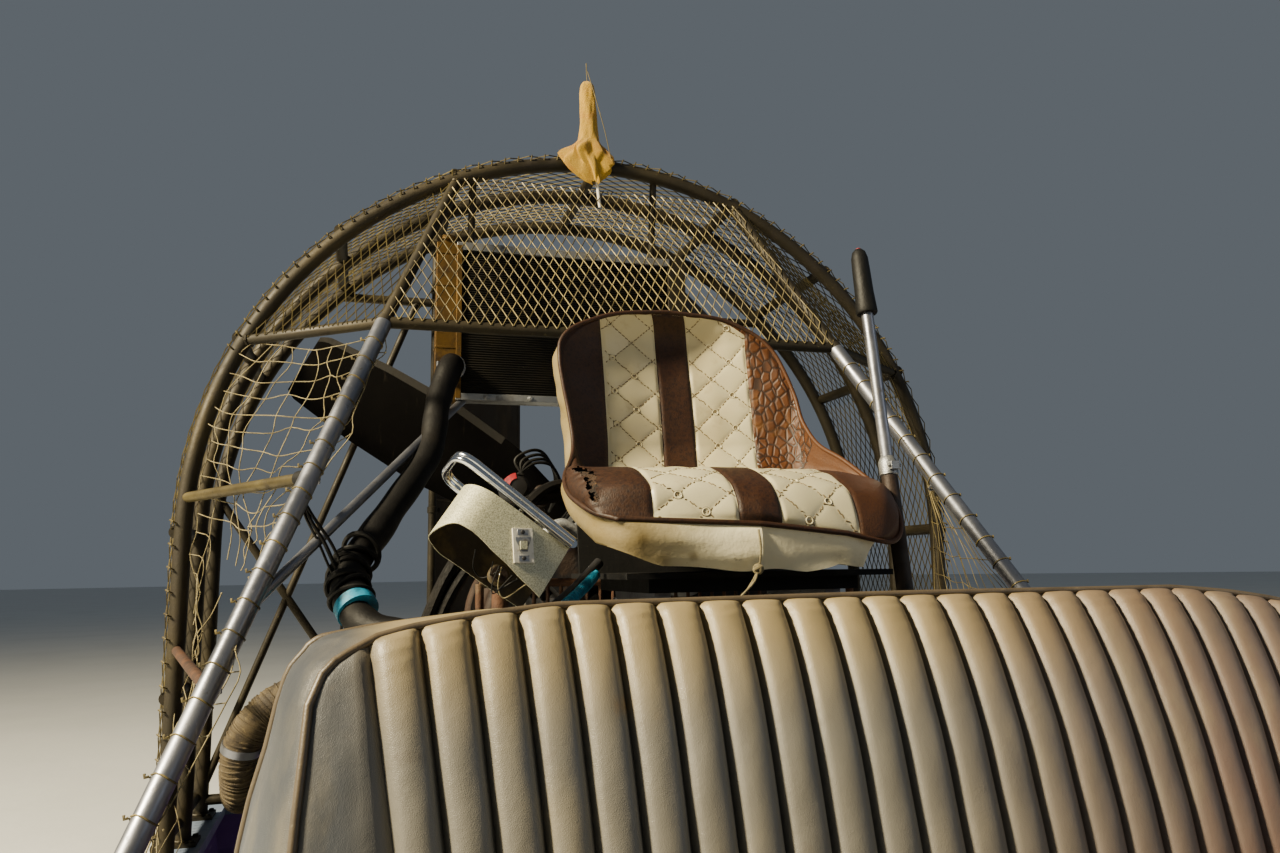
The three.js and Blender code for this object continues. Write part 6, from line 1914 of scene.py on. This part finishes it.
def propeller_pieces():
    # Radius, chord, thickness and pitch in degrees
    stations = [
        (62, 120, 46, 52), (180, 210, 40, 46), (330, 285, 32, 38), (560, 305, 24, 30), (800, 275, 18, 24),
        (1000, 225, 12, 20), (1030, 200, 8, 20),
    ]
    table = np.array(stations, float)
    form = Form()
    hub = [(0.03, -0.082), (0.095, -0.082), (0.095, -0.068), (0.074, -0.066), (0.072, 0.052),
           (0.06, 0.055), (0.044, 0.084), (0.012, 0.098)]
    form.lathe(hub, P(0, PROPELLER_Y, SPRING_Z), (0, 1, 0), 48)
    form.lathe([(0.036, 0.0), (0.036, 0.194)], P(0, 16, SPRING_Z), (0, 1, 0), 32)
    form.lathe([(0.05, 0.0003), (0.05, 0.014)], P(0, 95, SPRING_Z), (0, 1, 0), 32)
    for k in range(6):
        a = k * math.pi / 3
        bolt(form, P(83 * math.cos(a), 203, SPRING_Z + 83 * math.sin(a)), (0, -1, 0), 0.007, 0.006)
    outline = [(-0.5, 0.0), (-0.47, 0.2), (-0.4, 0.34), (-0.3, 0.42), (-0.15, 0.48), (0.0, 0.5),
               (0.15, 0.46), (0.3, 0.32), (0.42, 0.15), (0.5, 0.0), (0.42, -0.08), (0.3, -0.18),
               (0.1, -0.28), (-0.1, -0.31), (-0.3, -0.29), (-0.42, -0.2), (-0.47, -0.1)]
    for turn in (180 - 31, -31):
        a = math.radians(turn)
        rings = []
        for radius in np.concatenate([np.linspace(62, 1000, 30), [1012, 1022, 1028, 1030]]):
            chord, thick, pitch = (np.interp(radius, table[:, 0], table[:, k]) for k in (1, 2, 3))
            chord *= 1 - 0.04 * smoothstep(1015, 1030, radius)
            lean = math.radians(pitch)
            ring = []
            for u, w in outline:
                c, t = u * chord, w * thick
                x, y = radius, c * math.sin(lean) + t * math.cos(lean)
                z = c * math.cos(lean) - t * math.sin(lean)
                # Turned about Y as the solid is
                ring.append(P(x * math.cos(a) - z * math.sin(a), PROPELLER_Y + y,
                              SPRING_Z + x * math.sin(a) + z * math.cos(a)))
            rings.append(ring)
        form.kind = 0
        form.rings(rings)
        # Metal guard along the leading edge
        form.kind = 1
        guard = [[ring[k] for k in (15, 16, 0, 1, 2)] for ring in rings[10:]]
        middle = [np.mean(ring, axis=0) for ring in rings[10:]]
        strip = [[m + (p - m) * 1.012 for p in ring] for m, ring in zip(middle, guard)]
        form.rings([ring + [along(ring[-1], ring[0], 0.5)] for ring in strip])
    build("propeller_blades", form, "propeller", ["propeller_paint", "blade_edge"],
          ["propeller"], smooth=40)


PENNANT_ROWS = [
    # z, half width, half depth, sideways shift
    (2822, 3, 3, -48), (2818, 14, 10, -48), (2806, 22, 14, -48), (2780, 25, 15, -47), (2740, 26, 16, -46),
    (2690, 27, 17, -45),
    (2650, 30, 18, -45), (2622, 33, 19, -45), (2602, 46, 21, -47), (2586, 64, 22, -50),
    (2570, 72, 20, -52), (2554, 70, 18, -48),
    (2535, 58, 16, -42), (2515, 44, 14, -35), (2496, 28, 10, -29), (2480, 12, 6, -26),
]


def pennant_pieces():
    staff_y = -27
    staff = Form()
    staff.tube(spline([P(-10, staff_y, 2404), P(-26, staff_y, 2560), P(-46, staff_y, 2800)], 8), 0.005,
               14)
    staff.kind = 1
    staff.tube(spline([P(-46, staff_y, 2790), P(-49, staff_y, 2850), P(-50, staff_y, 2885)], 6), 0.0016,
               6)
    staff.tube(spline([P(-49, staff_y - 12, 2850), P(-30, staff_y - 30, 2760), P(0, staff_y - 30, 2650),
                       P(22, staff_y - 22, 2561)], 8), 0.0014, 6)
    for z in (2545, 2556):
        staff.tube([P(-24 + 9 * math.cos(a), staff_y + 6 + 12 * math.sin(a), z)
                    for a in np.linspace(0, 2 * math.pi, 17)[:-1]], 0.0016, 6, closed=True)
    build("pennant_rod", staff, "boat", ["white_staff", "net_wire"], ["pennant_staff"])

    table = np.array(PENNANT_ROWS, float)[::-1]
    rings = []
    sides = 72
    angles = np.arange(sides) / sides * 2 * math.pi
    for z in np.concatenate([np.linspace(2822, 2610, 34), np.linspace(2606, 2480, 30)]):
        wide, deep, shift = (np.interp(z, table[:, 0], table[:, k]) for k in (1, 2, 3))
        loose = float(smoothstep(2640, 2560, z)) if z < 2640 else 0.0
        folds = 1 + (0.05 + 0.20 * loose) * np.sin(5 * angles + z / 26) + (0.02
                + 0.10 * loose) * np.sin(9 * angles - z / 17)
        drop = 14 * loose * np.sin(3 * angles + 1) + 6 * loose * np.sin(13 * angles)
        keep = 0.0 if z > 2500 else (2500 - z) / 20
        rings.append([P(shift + wide * f * math.cos(a), staff_y - 2 + deep * f * math.sin(a) - 6 * loose,
                        z + d * (1 - 0.6 * keep))
                      for a, f, d in zip(angles, folds, drop)])
    form = Form()
    form.rings(rings, caps=False)
    cloth = build("pennant_sheet", form, "boat", ["pennant_cloth"], ["pennant"],
                  smooth=80)


def small_pieces():
    """Rail, cable, tank cap, battery posts, tie bar and rudder fittings."""
    rail = Form()
    foot, top = 577, 826.5
    route = rounded([P(-820, -3620, foot), P(-820, -3640, top), P(820, -3640, top), P(820, -3620, foot)],
                    0.09, 12)
    rail.tube(route, 0.017, 20)
    for x in (-280, 280):
        rail.rod(P(x, -3640, foot), P(x, -3640, top), 0.014, 16)
    for x, y in ((-820, -3620), (820, -3620), (-280, -3640), (280, -3640)):
        rail.box(P(x - 34, y - 30, foot), P(x + 34, y + 30, foot + 5))
        for dx in (-26, 26):
            bolt(rail, P(x + dx, y, foot + 5), (0, 0, 1), 0.006, 0.005)
    build("bow_rail_tube", rail, "boat", ["bare_tube"], ["bow_rail"], bevel=0.0008)

    cable = Form()
    route = spline([P(*p) for p in (
        (352, -1172, 880), (352, -1160, 500), (400, -1060, 120), (480, -800, 75), (490, -300, 75),
        (490, 300, 80), (480, 560, 180), (470, 640, 400), (440, 665, 520), (400, 672, 600))], 14)
    cable.tube(route, 0.0075, 14)
    cable.kind = 1
    for k in (30, 62, 84):
        clamp(cable, route[k], route[k + 1] - route[k - 1], 0.0078, 0.012)
    build("steering_cable_tube", cable, "boat", ["black_rubber", "bare_tube"],
          ["steering_cable"])

    tank = Form()
    tank.box(P(70, -1930, PLATE_LOW), P(640, -1600, 330))
    for x in (200, 355, 510):
        tank.box(P(x - 12, -1934, 64), P(x + 12, -1596, 334))
    tank.lathe([(0.03, 0.0), (0.042, 0.004), (0.042, 0.03), (0.036, 0.036)], P(160, -1765, 328),
               (0, 0, 1), 12)
    tank.kind = 1
    tank.lathe([(0.014, 0.0), (0.014, 0.02), (0.008, 0.024)], P(560, -1765, 329), (0, 0, 1), 14)
    build("fuel_tank_shell", tank, "boat", ["black_plastic", "cast_cover"],
          ["fuel_tank"], bevel=0.014)

    cell = Form()
    cell.box(P(-610, -1900, PLATE_LOW), P(-290, -1650, 270))
    cell.box(P(-614, -1904, 262), P(-286, -1646, 285))
    cell.kind = 1
    for x in (-570, -330):
        cell.lathe([(0.01, 0), (0.009, 0.02)], P(x, -1700, 284), (0, 0, 1), 16)
        clamp(cell, P(x, -1700, 296), (0, 0, 1), 0.0105, 0.01)
    cell.kind = 2
    cell.rod(P(-570, -1680, 297), P(-570, -1652, 290), 0.006, 10)
    build("battery_case", cell, "boat", ["black_plastic", "cast_cover", "red_cap"],
          ["battery"], bevel=0.003)

    shift = HORN * math.cos(math.radians(RUDDER_REST))
    tie = Form()
    tie_y = RUDDER_Y + shift
    tie.box(P(shift - RUDDER_X, tie_y - 11, 648), P(shift + RUDDER_X, tie_y + 11, 659.5))
    for sign in (-1, 1):
        tie.lathe([(0.007, -0.006), (0.022, -0.006), (0.022, 0.0055), (0.007, 0.0055)],
                  P(shift + sign * RUDDER_X, tie_y, 654), (0, 0, 1), 28)
    build("tie_bar_strap", tie, "tie_bar", ["bare_tube"], ["rudder_tie_bar"], bevel=0.0015)

    for side, sign in SIDES:
        where = placed_at((sign * RUDDER_X, RUDDER_Y, 0), (RUDDER_REST, "Z"))
        form = Form()
        outline = [(0, 668), (520, 668), (520, 2235), (460, 2320), (0, 2405)]
        form.slab([where(a, -5, z) for a, z in outline], where(0, 10, 0) - where(0, 0, 0))
        for z in (900, 1540, 2160):
            for y in (-8.5, 8.5):
                form.tube([where(4, y * 0.55, z), where(40, y * 0.6, z), where(480, y * 0.6, z),
                           where(500, y * 0.5, z)], [0.002, 0.007, 0.007, 0.002], 12)
        for a, b in (((505, 700), (505, 2230)), ((30, 700), (490, 690))):
            form.rod(where(a[0], 0, a[1]), where(b[0], 0, b[1]), 0.0062, 10)
        form.kind = 1
        form.rod(where(0, 0, 612.5), where(0, 0, 2424), 0.014, 24)
        form.block(where, (0, -18, 660), (172, 18, 670))
        form.rod(where(HORN, 0, 634), where(HORN, 0, 664), 0.006, 16)
        for z in (700, 1100, 1500, 1900, 2300):
            form.lathe([(0.0145, -0.012), (0.0175, -0.010), (0.0175, 0.010), (0.0145, 0.012)],
                       where(0, 0, z), (0, 0, 1), 24)
            for y in (-5, 5):
                bolt(form, where(30, y, z), where(0, y, 0) - where(0, 0, 0), 0.006, 0.004)
        build("rudder_" + side + "_plate", form, side + "_rudder",
              ["rudder_paint", "guard_tube"], ["rudder_" + side], bevel=0.0008)


def string_pieces():
    """The cord that laces the seat's boxing, knotted above the bench."""
    wire("seat_string", [
        P(-69, -1279, 1345), P(-67, -1281, 1318), P(-68, -1280, 1298), P(-72, -1278, 1279),
        P(-88, -1274, 1250), P(-104, -1272, 1234), P(-118, -1272, 1226), P(-124, -1274, 1216),
        P(-121, -1276, 1204),
    ], 0.0042, "string", "limp", "knot", "hanging", 10)
    wire("seat_string_end", [
        P(-72, -1278, 1281), P(-80, -1283, 1262), P(-97, -1279, 1243), P(-110, -1277, 1231),
        P(-122, -1280, 1219), P(-131, -1281, 1209),
    ], 0.0038, "string", "limp", "knot", "hanging", 10)
    # Three rings crossed at each knot
    knots = Form()
    for place, size in ((P(-72, -1279, 1280), 0.0062), (P(-121, -1275, 1221), 0.0085),
                        (P(-126, -1278, 1214), 0.0065)):
        for axis in ((1, 0.2, 0.4), (0.3, 1, -0.2), (-0.2, 0.4, 1)):
            side, other = square_to(axis, (0, 1, 0))
            knots.tube(circle(place, side, other, size, 14), size * 0.55, 8, closed=True)
    build("seat_string_knots", knots, "boat", ["string"])


# Name, place, size in metres, watts and colour of each lamp
LAMPS = (
    ("key", (-6700, -2330, 6200), 1.2, 2900, (1.0, 0.86, 0.58)),
    ("fill", (5200, -5200, 3200), 4.0, 40, (0.86, 0.92, 1.0)),
)
LAMPS_AIM = (0, -900, 1200)
# The hull's outline at the floor's level: y and half width
WATERLINE = [(-3787, 1065), (-3650, 1092), (-3300, 1118), (-2900, 1123), (751, 1123)]
FLOOR_Z = 160
FLOOR_REACH = 120.0


def scene_stage():
    """A plain floor round the hull, with plain light."""
    inner = [P(-half, y, FLOOR_Z) for y, half in WATERLINE]
    inner += [P(half, y, FLOOR_Z) for y, half in WATERLINE[::-1]]
    inner = np.array(inner)
    centre = inner.mean(0)
    angles = np.arctan2(inner[:, 1] - centre[1], inner[:, 0] - centre[0])
    outer = centre + FLOOR_REACH * np.stack([np.cos(angles), np.sin(angles), 0 * angles], -1)
    form = Form()
    form.rings([inner, outer], caps=False)
    mesh = bpy.data.meshes.new("studio_floor")
    mesh.from_pydata(form.points, [], form.faces)
    mesh.materials.append(FINISHES["floor"])
    floor = bpy.data.objects.new("studio_floor", mesh)
    bpy.context.scene.collection.objects.link(floor)

    world = bpy.data.worlds.new("studio")
    world.use_nodes = True
    world.node_tree.nodes["Background"].inputs["Color"].default_value = linear("c3cfdb")
    world.node_tree.nodes["Background"].inputs["Strength"].default_value = 0.21
    bpy.context.scene.world = world
    for name, place, size, power, colour in LAMPS:
        area_light(name, P(*place), P(*LAMPS_AIM), size, power, colour)


KEPT = {
    "hull": "hull_paint", "bow_deck": "rim_paint", "gunwale": "rim_paint", "floor_boards": "deck_plate",
    "rear_bench_frame": "plate", "front_bench_frame": "plate", "driver_seat_pan": "seat_shell",
}

make_camera()
scene_stage()
for kept_node, finish_key in KEPT.items():
    dress(kept_node, finish_key)
for make_pieces in (
    hoop_pieces, wall_pieces, visor_pieces, diagonal_pieces, net_pieces, rear_frame_pieces,
    bench_pieces, seat_pieces, console_pieces, stick_pieces, driver_stand_pieces,
    engine_guard_pieces, radiator_pieces, hose_pieces, engine_pieces, ignition_pieces,
    propeller_pieces, pennant_pieces, small_pieces, string_pieces,
):
    make_pieces()
